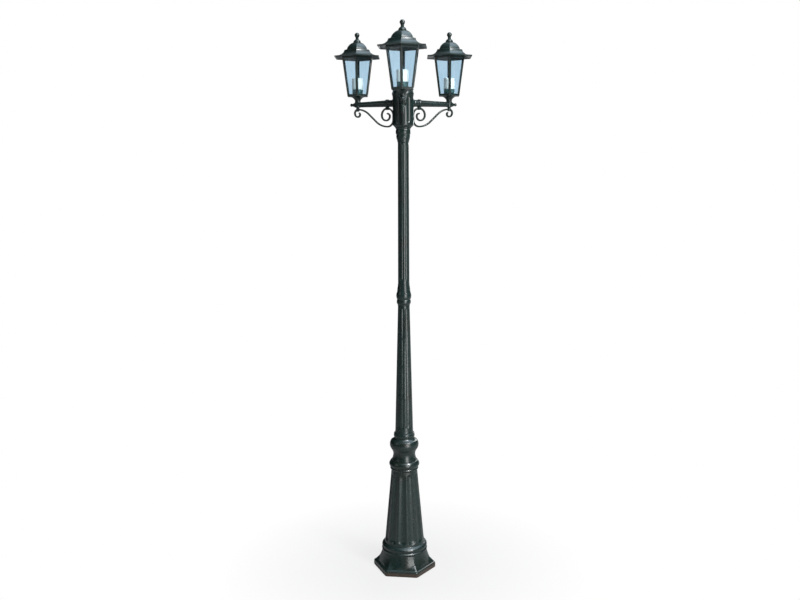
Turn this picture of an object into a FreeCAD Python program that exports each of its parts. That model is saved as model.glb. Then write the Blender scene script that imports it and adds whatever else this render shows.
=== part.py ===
import FreeCAD, Part

import math
import os
import re

import Sketcher

# A garden lamp post, 2.3 m tall, with three hexagonal lanterns on arms at 120 degrees.
# Millimetres, +Z up. The origin is on the post's axis, on the ground under the foot.
# A piece that stands on the post is drawn from its own seat, and one that belongs to an arm
# is drawn along +X and then turned to its arm.

SIZES = [
    # base casting: hexagonal foot, round skirt, bead, fluted cone and crown bead
    ("foot_across", 276.0, "hexagonal foot, corner to corner"),
    ("foot_edge", 18.0, "height of the foot's upright edge"),
    ("shoulder_rise", 15.0, "height of the rounded shoulder above the edge"),
    ("shoulder_run", 10.0, "how far the shoulder draws in at a corner"),
    ("knee_height", 41.0, "height where the six hips turn upwards"),
    ("knee_across", 228.0, "hips, corner to corner, at that turn"),
    ("hip_height", 72.0, "height where the six hips fade into the skirt"),
    ("hip_across", 190.0, "hips, corner to corner, where they fade"),
    ("skirt_foot", 222.0, "diameter of the round skirt at the shoulder"),
    ("skirt_head", 189.0, "diameter of the skirt under the bead"),
    ("skirt_height", 85.0, "height of the top of the skirt"),
    ("skirt_bow", 3.0, "hollow of the skirt"),
    ("bead_top", 117.0, "height of the top of the base bead"),
    ("bead_head", 176.0, "diameter of the bead's upper edge"),
    ("bead_bow", 7.4, "swell of the base bead"),
    ("cone_start", 124.0, "height where the fluted cone starts"),
    ("cone_foot", 171.0, "diameter of the cone at its foot"),
    ("cone_head", 112.0, "diameter of the cone at its head"),
    ("crown_step", 4.0, "height of the slope from the cone out to the crown bead"),
    ("crown_height", 36.0, "height of the crown bead, up to the top of the base casting"),
    ("crown_seat", 117.0, "diameter of the crown bead's edges"),
    ("crown_bow", 7.3, "swell of the crown bead"),
    ("base_height", 488.0, "height of the base casting"),
    ("base_wall", 8.0, "wall of the base casting"),
    ("foot_wall", 12.0, "wall of the foot and skirt"),
    ("base_twist", -6.0, "turn of the base and columns from the arms, degrees"),
    ("flute_count", 12.0, "flutes round the base, the columns and the hub"),
    ("cone_flute_depth", 6.5, "depth of the cone's flutes"),
    ("cone_flute_low", 126.0, "height where the cone's flutes start"),
    ("cone_flute_stop", 14.0, "height of the plain cone above its flutes"),
    ("cone_flute_wide", 29.0, "radius of a cone flute at its foot"),
    ("cone_flute_slim", 17.5, "radius of a cone flute at its head"),
    # anchoring, inside the foot
    ("lug_thick", 12.0, "thickness of the three anchor lugs"),
    ("lug_width", 40.0, "width of an anchor lug"),
    ("lug_inner", 58.0, "distance from the axis to a lug's inner end"),
    ("anchor_circle", 150.0, "bolt circle of the anchor holes"),
    ("anchor_hole", 12.0, "diameter of an anchor hole"),
    # tie plate, tie tube and what tightens them
    ("mouth_bore", 78.0, "mouth of the base casting"),
    ("plate_across", 101.0, "diameter of the tie plate"),
    ("plate_thick", 6.0, "thickness of the tie plate"),
    ("plate_screw", 5.0, "diameter of a tie plate screw"),
    ("plate_screw_deep", 12.0, "depth of a tie plate screw in the base"),
    ("screw_head", 8.5, "diameter of a tie plate screw's head"),
    ("screw_head_thick", 4.0, "height of that head"),
    ("tie_across", 16.0, "diameter of the tie tube"),
    ("tie_bore", 11.0, "bore of the tie tube, for the supply cable"),
    ("tie_spare", 5.0, "thread that stands past each tie nut"),
    ("nut_flats", 24.0, "tie nut, across flats"),
    ("nut_thick", 13.0, "thickness of a tie nut"),
    ("washer_across", 34.0, "diameter of the tie washer"),
    ("washer_thick", 3.0, "thickness of the tie washer"),
    # base collar
    ("collar_foot", 108.0, "diameter of the base collar on the base"),
    ("collar_edge", 3.0, "height of the collar's upright foot"),
    ("collar_recess", 5.5, "depth of the recess over the tie plate's screws"),
    ("collar_wall", 8.0, "wall of the collar at its waist"),
    ("waist_across", 95.0, "diameter of the collar's waist"),
    ("waist_height", 30.0, "height of the waist"),
    ("waist_top", 52.0, "height of the top of the waist"),
    ("waist_bow", 1.6, "hollow of the waist, above and below"),
    ("bulge_edge", 113.0, "diameter of the edges of the collar's bulge"),
    ("bulge_top", 90.0, "height of the top of the bulge"),
    ("bulge_bow", 5.8, "swell of the collar's bulge"),
    ("ring_edge", 86.0, "diameter of the edges of the collar's top ring"),
    ("ring_start", 101.0, "height where the top ring starts"),
    ("ring_bow", 2.2, "swell of the top ring"),
    ("collar_height", 123.0, "height of the base collar"),
    # columns
    ("lower_foot", 80.0, "diameter of the lower column's flared foot"),
    ("lower_shaft", 76.4, "diameter of the lower column above its flare"),
    ("lower_head", 49.6, "diameter of the lower column's head"),
    ("lower_height", 554.0, "height of the lower column"),
    ("upper_foot", 50.0, "diameter of the upper column's flared foot"),
    ("upper_shaft", 48.0, "diameter of the upper column above its flare"),
    ("upper_head", 45.3, "diameter of the upper column's head"),
    ("upper_height", 592.0, "height of the upper column"),
    ("flare_height", 16.0, "height of the flare at a column's foot"),
    ("flare_bow", 0.4, "hollow of that flare"),
    ("column_wall", 4.5, "wall of the columns"),
    ("lower_flute_depth", 1.7, "depth of the lower column's flutes"),
    ("lower_flute_wide", 17.0, "radius of a lower flute at its foot"),
    ("lower_flute_slim", 10.0, "radius of a lower flute at its head"),
    ("upper_flute_depth", 1.4, "depth of the upper column's flutes"),
    ("upper_flute_wide", 8.6, "radius of an upper flute at its foot"),
    ("upper_flute_slim", 7.8, "radius of an upper flute at its head"),
    ("flute_margin", 8.0, "plain band between a flute and the end of its column"),
    ("spigot_height", 12.0, "height of the spigots that centre the columns"),
    ("spigot_wall", 4.0, "wall of a spigot"),
    ("fit_gap", 0.3, "clearance round a spigot or a screw"),
    ("tip_gap", 1.0, "free thread past a screw's tip"),
    # middle collar
    ("mid_foot", 52.0, "diameter of the middle collar's foot"),
    ("mid_ring_edge", 58.0, "diameter of the edges of its ring"),
    ("mid_ring_start", 10.0, "height where its ring starts"),
    ("mid_ring_top", 25.0, "height where its ring ends"),
    ("mid_ring_bow", 0.9, "swell of its ring"),
    ("mid_groove", 55.0, "diameter of the groove over its ring"),
    ("mid_bulge_start", 28.0, "height where its bulge starts"),
    ("mid_bulge_edge", 57.0, "diameter of the edges of its bulge"),
    ("mid_bulge_top", 58.0, "height of the top of its bulge"),
    ("mid_bulge_bow", 3.3, "swell of its bulge"),
    ("mid_neck", 54.0, "diameter of its neck"),
    ("mid_neck_height", 74.0, "height of its neck"),
    ("mid_height", 88.0, "height of the middle collar"),
    # top collar
    ("top_ring_start", 18.0, "height where the top collar's ring starts"),
    ("top_ring_edge", 56.5, "diameter of the edges of its ring"),
    ("top_ring_end", 30.0, "height where its ring ends"),
    ("top_ring_bow", 0.8, "swell of its ring"),
    ("top_groove", 56.0, "diameter of the groove over its ring"),
    ("top_bulge_start", 33.0, "height where its bulge starts"),
    ("top_bulge_edge", 59.5, "diameter of the edges of its bulge"),
    ("top_bulge_end", 53.0, "height where its bulge ends"),
    ("top_bulge_bow", 1.6, "swell of its bulge"),
    ("top_head", 66.0, "diameter of the top collar's head"),
    ("top_height", 60.0, "height of the top collar"),
    ("top_foot_stand", 1.0, "how far its foot stands out from the column"),
    ("top_head_edge", 2.0, "height of the upright edge under the hub"),
    # hub
    ("hub_across", 87.0, "diameter of the hub"),
    ("hub_chamfer", 10.0, "height of the chamfer at the hub's foot"),
    ("hub_floor", 8.0, "thickness of the hub's floor"),
    ("hub_bore", 72.0, "bore of the hub"),
    ("hub_rim_start", 127.0, "height where the hub's rim bead starts"),
    ("hub_rim_end", 143.0, "height where it ends"),
    ("hub_rim_bow", 2.6, "swell of the hub's rim bead"),
    ("hub_height", 145.0, "height of the hub"),
    ("hub_flute_depth", 2.0, "depth of the hub's flutes"),
    ("hub_flute_radius", 20.0, "radius of a hub flute"),
    ("pad_across", 34.0, "diameter of the hub's arm pads"),
    ("pad_stand", 3.5, "how far an arm pad stands out from the hub"),
    ("cap_across", 86.0, "diameter of the hub cap"),
    ("cap_rim", 3.0, "thickness of the hub cap's rim"),
    ("cap_rise", 10.0, "rise of the hub cap's dome"),
    ("cap_spigot", 5.0, "depth of the hub cap's spigot"),
    ("cap_screw", 3.2, "diameter of a hub cap screw"),
    ("cap_screw_head", 5.6, "diameter of a hub cap screw's head"),
    ("cap_screw_deep", 9.0, "depth of a hub cap screw in the hub"),
    ("block_length", 30.0, "length of the terminal block"),
    ("block_width", 13.0, "width of the terminal block"),
    ("block_height", 18.0, "height of the terminal block"),
    ("block_way", 5.0, "diameter of a wire way through the block"),
    ("block_way_level", 11.0, "height of the wire ways above the block's foot"),
    ("block_gap", 1.0, "gap between the block and the tie washer"),
    # arms
    ("arm_level", 99.0, "height of the arms' axis above the hub's foot"),
    ("arm_reach", 222.0, "distance from the post's axis to a lantern's axis"),
    ("arm_root", 28.6, "diameter of an arm at the hub"),
    ("arm_tip", 20.0, "diameter of an arm at the lantern"),
    ("arm_neck", 8.4, "diameter of an arm's outer end"),
    ("arm_past", 26.0, "how far an arm runs past the lantern's axis"),
    ("arm_bore", 9.0, "bore of an arm, for the lamp lead"),
    ("tail_across", 16.0, "diameter of an arm's threaded tail"),
    ("tail_length", 22.0, "length of that tail"),
    ("tail_nut_flats", 22.0, "nut on an arm's tail, across flats"),
    ("tail_nut_thick", 6.0, "thickness of that nut"),
    ("boss_across", 25.0, "diameter of the boss that carries a lantern"),
    ("boss_above", 13.0, "height of that boss above the arm's axis"),
    ("boss_below", 10.5, "depth of that boss below the arm's axis"),
    ("front_twist", -3.5, "turn of the front lantern on its arm, as it was screwed up, degrees"),
    ("ball_across", 13.0, "diameter of the ball at an arm's end"),
    ("ball_stub", 5.0, "diameter of the ball's stub"),
    ("ball_stub_deep", 9.0, "depth of the stub in the arm"),
    # scroll brackets
    ("bar_thick", 6.6, "thickness of the scroll bar, seen from the side"),
    ("bar_wide", 9.0, "width of the scroll bar, across the arm"),
    ("strap_reach", 76.0, "distance from the post's axis to a strap"),
    ("scroll_drop", 19.5, "depth of the bar under the arm's axis where it is held"),
    ("scroll_depth", 74.0, "height of the S, from its lowest run to the eye nut"),
    ("loop_low", 27.0, "radius of the big loop's lower quarter"),
    ("loop_outer", 27.0, "radius of the big loop's outer quarter"),
    ("loop_under", 22.0, "radius of the next quarter inwards"),
    ("loop_inner", 17.0, "radius of the one after"),
    ("loop_tip", 11.0, "radius of the last quarter"),
    ("sweep_angle", 41.0, "steepest slope of the S, degrees"),
    ("curl_outer", 15.0, "radius of the small curl's first quarter"),
    ("curl_under", 15.5, "radius of its second quarter"),
    ("curl_inner", 10.5, "radius of its third quarter"),
    ("curl_tip", 6.0, "radius of its tip"),
    ("curl_tip_turn", 60.0, "turn of its tip, degrees"),
    ("hub_gap", 0.5, "gap between a scroll and the hub"),
    ("strap_long", 10.0, "length of a strap along the arm"),
    ("strap_thick", 2.6, "thickness of a strap round the arm"),
    ("strap_cheek", 3.0, "metal beside and under the bar"),
    ("eye_across", 14.0, "diameter of an eye nut"),
    # lanterns, measured from the top of the arm's boss
    ("neck_across", 24.0, "diameter of the cup's neck"),
    ("neck_height", 5.0, "height of that neck"),
    ("cup_flare", 80.0, "diameter of the cup where it meets its plate"),
    ("cup_bow", 5.0, "hollow of the cup"),
    ("cup_plate", 3.0, "thickness of the cup's plate"),
    ("cup_height", 24.0, "height of the cup"),
    ("body_low", 97.0, "lantern body, corner to corner, at its foot"),
    ("body_high", 142.0, "lantern body, corner to corner, at its head"),
    ("body_height", 154.0, "height of the lantern body"),
    ("frame_wall", 2.5, "wall of the lantern frame"),
    ("frame_floor", 2.5, "floor of the lantern frame"),
    ("frame_foot_band", 5.5, "height of the frame's lower band"),
    ("frame_head_band", 5.5, "height of the frame's upper band"),
    ("frame_bar", 6.5, "width of a corner bar on each face"),
    ("pane_thick", 2.0, "thickness of a pane"),
    ("pane_gap", 0.3, "clearance round a pane"),
    ("eave_across", 212.0, "roof, corner to corner, at the eave"),
    ("eave_edge", 5.0, "depth of the eave's upright edge"),
    ("sweep_across", 142.0, "roof, corner to corner, at the middle of its sweep"),
    ("sweep_height", 14.0, "height of that place above the eave's foot"),
    ("eave_bow", 2.7, "hollow of the eave's outer sweep"),
    ("sweep_bow", 1.8, "hollow of its inner sweep"),
    ("step_low", 120.0, "roof, corner to corner, under the step"),
    ("step_height", 29.5, "height of the step above the eave's foot"),
    ("step_rise", 3.0, "rise of the step"),
    ("step_high", 98.0, "roof, corner to corner, above the step"),
    ("dome_bow", 5.0, "roundness of the roof's dome"),
    ("dome_head", 34.0, "roof, corner to corner, at its top"),
    ("roof_height", 62.0, "height of the roof above the eave's foot"),
    ("roof_wall", 3.0, "wall of the roof"),
    ("roof_lip", 3.5, "depth of the lip that drops into the frame"),
    ("lip_wall", 2.5, "wall of that lip"),
    ("lip_gap", 0.6, "clearance round that lip"),
    ("roof_seat", 1.0, "step from the frame's head to the eave's foot"),
    ("button_across", 32.0, "diameter of the finial's foot"),
    ("button_height", 13.0, "height of the finial's foot"),
    ("button_edge", 3.0, "height of its upright edge"),
    ("button_bow", 1.6, "roundness of the finial's foot"),
    ("finial_neck", 13.5, "diameter of the finial's neck"),
    ("finial_neck_height", 9.0, "height of that neck"),
    ("finial_ball", 21.0, "diameter of the finial's ball"),
    ("stud_across", 8.0, "diameter of the finial's stud"),
    ("stud_deep", 12.0, "depth of the stud below the finial's foot"),
    ("stud_boss", 16.0, "diameter of the boss inside the roof that takes the stud"),
    # lampholders
    ("holder_across", 44.0, "diameter of the lampholder's base"),
    ("holder_base_height", 23.5, "height of that base"),
    ("holder_wall", 3.0, "wall of that base"),
    ("sleeve_across", 46.0, "diameter of the lampholder's sleeve"),
    ("sleeve_height", 45.0, "height of the sleeve"),
    ("sleeve_spigot", 6.0, "depth of the sleeve's spigot in the base"),
    ("sleeve_lip", 3.0, "height of the lip round the sleeve's mouth"),
    ("sleeve_lip_stand", 0.8, "how far that lip stands out"),
    ("thread_bore", 26.5, "bore of the lamp thread"),
    ("shell_wall", 0.8, "wall of the threaded shell"),
    ("shell_height", 24.0, "height of the threaded shell"),
    ("shell_gap", 0.2, "clearance between shell and sleeve"),
    ("contact_across", 8.0, "diameter of the centre contact"),
    ("contact_height", 3.6, "height of the centre contact"),
    ("contact_sunk", 0.4, "how far the contact stays below the shell's floor"),
    ("nipple_across", 10.0, "diameter of the threaded nipple"),
    ("nipple_bore", 7.0, "bore of the nipple"),
    ("nipple_in_eye", 4.0, "depth of the nipple in the eye nut"),
    ("nipple_nut_flats", 14.0, "nut on the nipple, across flats"),
    ("nipple_nut_thick", 4.0, "thickness of that nut"),
]

ARMS = {"front": -90.0, "right": 30.0, "left": 150.0}
TWISTS = {"front": "front_twist"}

doc = FreeCAD.newDocument("triple_head_lamp_post")
sheet = doc.addObject("Spreadsheet::Sheet", "Size")
for line, (name, value, meaning) in enumerate(SIZES, 1):
    sheet.set("A%d" % line, meaning)
    sheet.set("B%d" % line, str(value))
    sheet.setAlias("B%d" % line, name)
doc.recompute()

pieces = []


def bind(formula):
    """Point every size in a formula at its cell. Only the sizes have an underscore in their names."""
    return re.sub(r"[a-z]+(?:_[a-z]+)+", r"Size.\g<0>", str(formula))


def reckon(formula):
    """The number that a formula gives."""
    return float(sheet.evalExpression(bind(formula)))


def place(item, turn="0", out="0", up="0", twist="0"):
    """Turn a piece about the post's axis, set it out that way and up, and twist it about its own axis."""
    item.Placement = FreeCAD.Placement()
    item.setExpression("Placement.Rotation.Angle", bind("(%s) + (%s)" % (turn, twist)))
    item.setExpression("Placement.Base.x", bind("(%s) * cos(%s)" % (out, turn)))
    item.setExpression("Placement.Base.y", bind("(%s) * sin(%s)" % (out, turn)))
    item.setExpression("Placement.Base.z", bind(up))


def new_body(label, **where):
    """An empty body for one piece."""
    body = doc.addObject("PartDesign::Body", label)
    body.Label = label
    place(body, **where)
    pieces.append(body)
    return body


def new_piece(label, shape, turn="0", out="0", up="0", twist="0"):
    """One piece whose shape is made directly, set in its place."""
    item = doc.addObject("Part::Feature", label)
    item.Label = label
    item.Shape = shape
    upright = FreeCAD.Vector(0, 0, 1)
    spot = FreeCAD.Vector(reckon(out), 0, reckon(up))
    turning = FreeCAD.Rotation(upright, reckon(turn))
    turned_and_twisted = FreeCAD.Rotation(upright, reckon(turn) + reckon(twist))
    item.Placement = FreeCAD.Placement(turning.multVec(spot), turned_and_twisted)
    pieces.append(item)
    return item


def new_sketch(body, plane, up="0"):
    """An empty sketch on one of a body's own planes, shifted along the plane's normal."""
    sketch = body.newObject("Sketcher::SketchObject", body.Label + "_sketch")
    support = next(item for item in body.Origin.OriginFeatures if item.Role == plane)
    sketch.AttachmentSupport = [(support, "")]
    sketch.MapMode = "FlatFace"
    sketch.setExpression("AttachmentOffset.Base.z", bind(up))
    return sketch


def drive(sketch, kind, geometry, point, formula):
    """Hold a point of a sketch at a distance from its origin that a formula gives."""
    index = sketch.addConstraint(Sketcher.Constraint(kind, -1, 1, geometry, point, reckon(formula)))
    sketch.setExpression("Constraints[%d]" % index, bind(formula))


def arc_radius(start, end, bow):
    """Formula for the radius of an arc whose middle stands off its chord by the bow."""
    chord = "((%s) - (%s))^2 + ((%s) - (%s))^2" % (end[0], start[0], end[1], start[1])
    return "(%s) / (8 * abs(%s)) + abs(%s) / 2" % (chord, bow, bow)


def cap_bow(run, rise):
    """Bow of an arc that starts at a distance from an axis and rises to meet it squarely."""
    chord = "sqrt((%s)^2 + (%s)^2)" % (run, rise)
    return "%s * (%s - (%s)) / (2 * (%s))" % (chord, chord, run, rise)


def trace(sketch, corners):
    """Draw a closed outline, anticlockwise. A corner is (x, y), or (x, y, bow) at the end of an arc.

    A bow above zero swells out of the outline, one below zero hollows it.
    """
    edges = []
    for start, end in zip([corners[-1]] + corners[:-1], corners):
        here = FreeCAD.Vector(reckon(start[0]), reckon(start[1]), 0)
        there = FreeCAD.Vector(reckon(end[0]), reckon(end[1]), 0)
        if len(end) == 2:
            edge = sketch.addGeometry(Part.LineSegment(here, there), False)
            edges.append((edge, 1, 2))
            continue
        bow = reckon(end[2])
        formula = arc_radius(start, end, end[2])
        radius = reckon(formula)
        along = there - here
        left = FreeCAD.Vector(-along.y, along.x, 0).normalize()
        side = math.copysign(1.0, bow)
        centre = (here + there) * 0.5 + left * side * (radius - abs(bow))
        ring = Part.Circle(centre, FreeCAD.Vector(0, 0, 1), radius)
        first, last = (here, there) if bow > 0 else (there, here)
        angles = [math.atan2(spot.y - centre.y, spot.x - centre.x) for spot in (first, last)]
        if angles[1] < angles[0]:
            angles[1] += 2 * math.pi
        edge = sketch.addGeometry(Part.ArcOfCircle(ring, angles[0], angles[1]), False)
        edges.append((edge, 1, 2) if bow > 0 else (edge, 2, 1))
        index = sketch.addConstraint(Sketcher.Constraint("Radius", edge, radius))
        sketch.setExpression("Constraints[%d]" % index, bind(formula))
    for (edge, _, tail), (follower, head, _) in zip(edges, edges[1:] + edges[:1]):
        sketch.addConstraint(Sketcher.Constraint("Coincident", edge, tail, follower, head))
    for (edge, _, tail), corner in zip(edges, corners):
        drive(sketch, "DistanceX", edge, tail, corner[0])
        drive(sketch, "DistanceY", edge, tail, corner[1])


def circle(sketch, x, y, diameter):
    """Draw a circle with a bound centre and diameter."""
    spot = FreeCAD.Vector(reckon(x), reckon(y), 0)
    ring = Part.Circle(spot, FreeCAD.Vector(0, 0, 1), reckon(diameter) / 2)
    edge = sketch.addGeometry(ring, False)
    drive(sketch, "DistanceX", edge, 3, x)
    drive(sketch, "DistanceY", edge, 3, y)
    index = sketch.addConstraint(Sketcher.Constraint("Diameter", edge, reckon(diameter)))
    sketch.setExpression("Constraints[%d]" % index, bind(diameter))


def hexagon(across):
    """Corners of a regular hexagon, measured corner to corner."""
    return [
        ("(%s) / 2 * cos(%d)" % (across, turn), "(%s) / 2 * sin(%d)" % (across, turn))
        for turn in range(0, 360, 60)
    ]


def feature(body, kind, sketch, **values):
    """A feature of a body made from a sketch. One that takes material away has to make the body smaller."""
    before = body.Shape.Volume if body.Tip else 0
    made = body.newObject("PartDesign::" + kind, body.Label + "_" + kind.lower())
    made.Profile = sketch
    for name, value in values.items():
        if isinstance(value, str) and name in ("Length", "Length2", "Angle"):
            made.setExpression(name, bind(value))
        else:
            setattr(made, name, value)
    body.Tip = made
    doc.recompute()
    after = body.Shape.Volume
    grows = kind in ("Pad", "Revolution", "AdditiveLoft")
    if (after <= before) if grows else (after >= before):
        raise ValueError("%s: a %s changed nothing" % (body.Label, kind))
    return made


def spin(body, sketch, axis="V_Axis", kind="Revolution"):
    """Turn a sketch about one of its own axes."""
    return feature(body, kind, sketch, ReferenceAxis=(sketch, [axis]), Angle=360.0)


def repeat(body, originals, count):
    """Repeat features evenly round the body's upright axis."""
    before = body.Shape.Volume
    pattern = body.newObject("PartDesign::PolarPattern", body.Label + "_pattern")
    pattern.Originals = originals
    axis = next(item for item in body.Origin.OriginFeatures if item.Role == "Z_Axis")
    pattern.Axis = (axis, [""])
    pattern.Angle = 360.0
    if isinstance(count, str):
        pattern.setExpression("Occurrences", bind(count))
    else:
        pattern.Occurrences = count
    body.Tip = pattern
    doc.recompute()
    if abs(body.Shape.Volume - before) < 1e-6:
        raise ValueError("%s: a pattern changed nothing" % body.Label)


def turned(label, corners, **where):
    """A piece turned about its own upright axis."""
    body = new_body(label, **where)
    sketch = new_sketch(body, "XZ_Plane")
    trace(sketch, corners)
    spin(body, sketch)
    return body


def flute(body, low, high, low_surface, high_surface, depth, wide, slim):
    """Cut round-ended flutes into a tapered shaft, from the height low to the height high.

    Each flute is the track of a tapered bar with ball ends, sunk into the shaft by the depth.
    """
    low_out = "((%s) - %s + %s)" % (low_surface, depth, wide)
    high_out = "((%s) - %s + %s)" % (high_surface, depth, slim)
    # the balls' poles are past the flute's ends by what the sunk depth leaves of the balls
    low_centre = "((%s) + sqrt(2 * %s * %s - %s^2))" % (low, wide, depth, depth)
    high_centre = "((%s) - sqrt(2 * %s * %s - %s^2))" % (high, slim, depth, depth)
    tilt = "atan((%s - %s) / (%s - %s))" % (low_out, high_out, high_centre, low_centre)
    run = "sqrt((%s - %s)^2 + (%s - %s)^2)" % (low_out, high_out, high_centre, low_centre)
    sketch = new_sketch(body, "XZ_Plane")
    sketch.setExpression("AttachmentOffset.Base.x", bind("%s + %s * sin(%s)" % (low_out, wide, tilt)))
    sketch.setExpression("AttachmentOffset.Base.y", bind("%s - %s * cos(%s)" % (low_centre, wide, tilt)))
    sketch.setExpression("AttachmentOffset.Rotation.Angle", bind(tilt))
    quarter = "(1 - cos(45)) * %s"
    trace(sketch, [
        ("0", "0"),
        (wide, wide, quarter % wide),
        (slim, "%s + %s" % (wide, run)),
        ("0", "%s + %s + %s" % (wide, run, slim), quarter % slim),
    ])
    doc.recompute()
    groove = spin(body, sketch, kind="Groove")
    repeat(body, [groove], "flute_count")


ledge = "base_height - plate_thick"
plate_circle = "(mouth_bore + plate_across) / 2"

# The base casting: a hexagonal foot with a rounded shoulder, six hollow hips that fade into a round
# skirt, a bead, a fluted cone and a crown bead. It is hollow, open below, and its mouth has a ledge
# for the tie plate.
shoulder_top = "foot_edge + shoulder_rise"
crown_start = "(base_height - crown_height)"
cone_end = "(%s - crown_step)" % crown_start
cone_slope = "(cone_foot - cone_head) / 2 / (%s - cone_start)" % cone_end
base = new_body("base_casting", turn="base_twist")
sketch = new_sketch(base, "XY_Plane")
trace(sketch, hexagon("foot_across"))
feature(base, "Pad", sketch, Length="foot_edge")
levels = [
    ("foot_edge", "foot_across"),
    ("foot_edge + shoulder_rise * sin(45)", "foot_across - 2 * shoulder_run * (1 - cos(45))"),
    (shoulder_top, "foot_across - 2 * shoulder_run"),
    ("knee_height", "knee_across"),
    ("hip_height", "hip_across"),
]
for low, high in zip(levels, levels[1:]):
    lower, upper = (new_sketch(base, "XY_Plane", height) for height, _ in (low, high))
    trace(lower, hexagon(low[1]))
    trace(upper, hexagon(high[1]))
    feature(base, "AdditiveLoft", lower, Sections=[upper], Ruled=True)
sketch = new_sketch(base, "XZ_Plane")
trace(sketch, [
    ("0", "0"),
    ("skirt_foot / 2", "0"),
    ("skirt_foot / 2", shoulder_top),
    ("skirt_head / 2", "skirt_height", "-skirt_bow"),
    ("bead_head / 2", "bead_top", "bead_bow"),
    ("cone_foot / 2", "cone_start"),
    ("cone_head / 2", cone_end),
    ("crown_seat / 2", crown_start),
    ("crown_seat / 2", "base_height", "crown_bow"),
    ("0", "base_height"),
])
spin(base, sketch)
flute(base, "cone_flute_low", "(%s - cone_flute_stop)" % cone_end,
      "cone_foot / 2 - %s * (cone_flute_low - cone_start)" % cone_slope,
      "cone_head / 2 + %s * cone_flute_stop" % cone_slope,
      "cone_flute_depth", "cone_flute_wide", "cone_flute_slim")
sketch = new_sketch(base, "XZ_Plane")
trace(sketch, [
    ("0", "0"),
    ("skirt_foot / 2 - foot_wall", "0"),
    ("skirt_head / 2 - foot_wall", "skirt_height"),
    ("cone_foot / 2 - cone_flute_depth - base_wall", "cone_start"),
    ("mouth_bore / 2", cone_end + " - base_wall"),
    ("mouth_bore / 2", ledge),
    ("plate_across / 2 + fit_gap", ledge),
    ("plate_across / 2 + fit_gap", "base_height"),
    ("0", "base_height"),
])
spin(base, sketch, kind="Groove")
sketch = new_sketch(base, "XY_Plane")
trace(sketch, [
    ("lug_inner", "-lug_width / 2"),
    ("skirt_foot / 2 - foot_wall / 2", "-lug_width / 2"),
    ("skirt_foot / 2 - foot_wall / 2", "lug_width / 2"),
    ("lug_inner", "lug_width / 2"),
])
lug = feature(base, "Pad", sketch, Length="lug_thick")
sketch = new_sketch(base, "XY_Plane")
circle(sketch, "anchor_circle / 2", "0", "anchor_hole")
hole = feature(base, "Pocket", sketch, Length="lug_thick", Reversed=True)
repeat(base, [lug, hole], 3)
sketch = new_sketch(base, "XY_Plane", ledge)
circle(sketch, plate_circle + " / 2", "0", "plate_screw")
hole = feature(base, "Pocket", sketch, Length="plate_screw_deep")
repeat(base, [hole], 3)

# The tie plate lies in the ledge at the mouth of the base and takes the pull of the tie tube.
plate = new_body("tie_plate", turn="base_twist", up=ledge)
sketch = new_sketch(plate, "XY_Plane")
circle(sketch, "0", "0", "plate_across")
circle(sketch, "0", "0", "tie_across + 2 * fit_gap")
feature(plate, "Pad", sketch, Length="plate_thick")
sketch = new_sketch(plate, "XY_Plane")
circle(sketch, plate_circle + " / 2", "0", "plate_screw + 2 * fit_gap")
hole = feature(plate, "Pocket", sketch, Length="plate_thick", Reversed=True)
repeat(plate, [hole], 3)


def rod(across, height, up="0", out="0"):
    """An upright round bar."""
    bar = Part.makeCylinder(reckon(across) / 2, reckon(height))
    bar.translate(FreeCAD.Vector(reckon(out), 0, reckon(up)))
    return bar


def nut(flats, thick, hole_across, up="0", out="0"):
    """A hexagon nut on an upright thread."""
    corner = reckon(flats) / math.sqrt(3)
    turns = [math.radians(turn) for turn in range(0, 361, 60)]
    points = [FreeCAD.Vector(corner * math.cos(turn), corner * math.sin(turn), 0) for turn in turns]
    made = Part.Face(Part.makePolygon(points)).extrude(FreeCAD.Vector(0, 0, reckon(thick)))
    made = made.cut(Part.makeCylinder(reckon(hole_across) / 2, reckon(thick)))
    made.translate(FreeCAD.Vector(reckon(out), 0, reckon(up)))
    return made


def copies_round(shape, turns):
    """The same shape, turned about the post's axis once for each turn, as separate solids."""
    copies = []
    for turn in turns:
        copy = shape.copy()
        copy.rotate(FreeCAD.Vector(0, 0, 0), FreeCAD.Vector(0, 0, 1), turn)
        copies.append(copy)
    return Part.makeCompound(copies)


THIRDS = (0, 120, 240)

# Three cheese-head screws hold the tie plate down in its ledge.
shank = rod("plate_screw", "plate_thick + plate_screw_deep - tip_gap", up="tip_gap - plate_screw_deep",
            out=plate_circle + " / 2")
head = rod("screw_head", "screw_head_thick", up="plate_thick", out=plate_circle + " / 2")
new_piece("tie_plate_screws", copies_round(shank.fuse(head), THIRDS), turn="base_twist", up=ledge)

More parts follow.
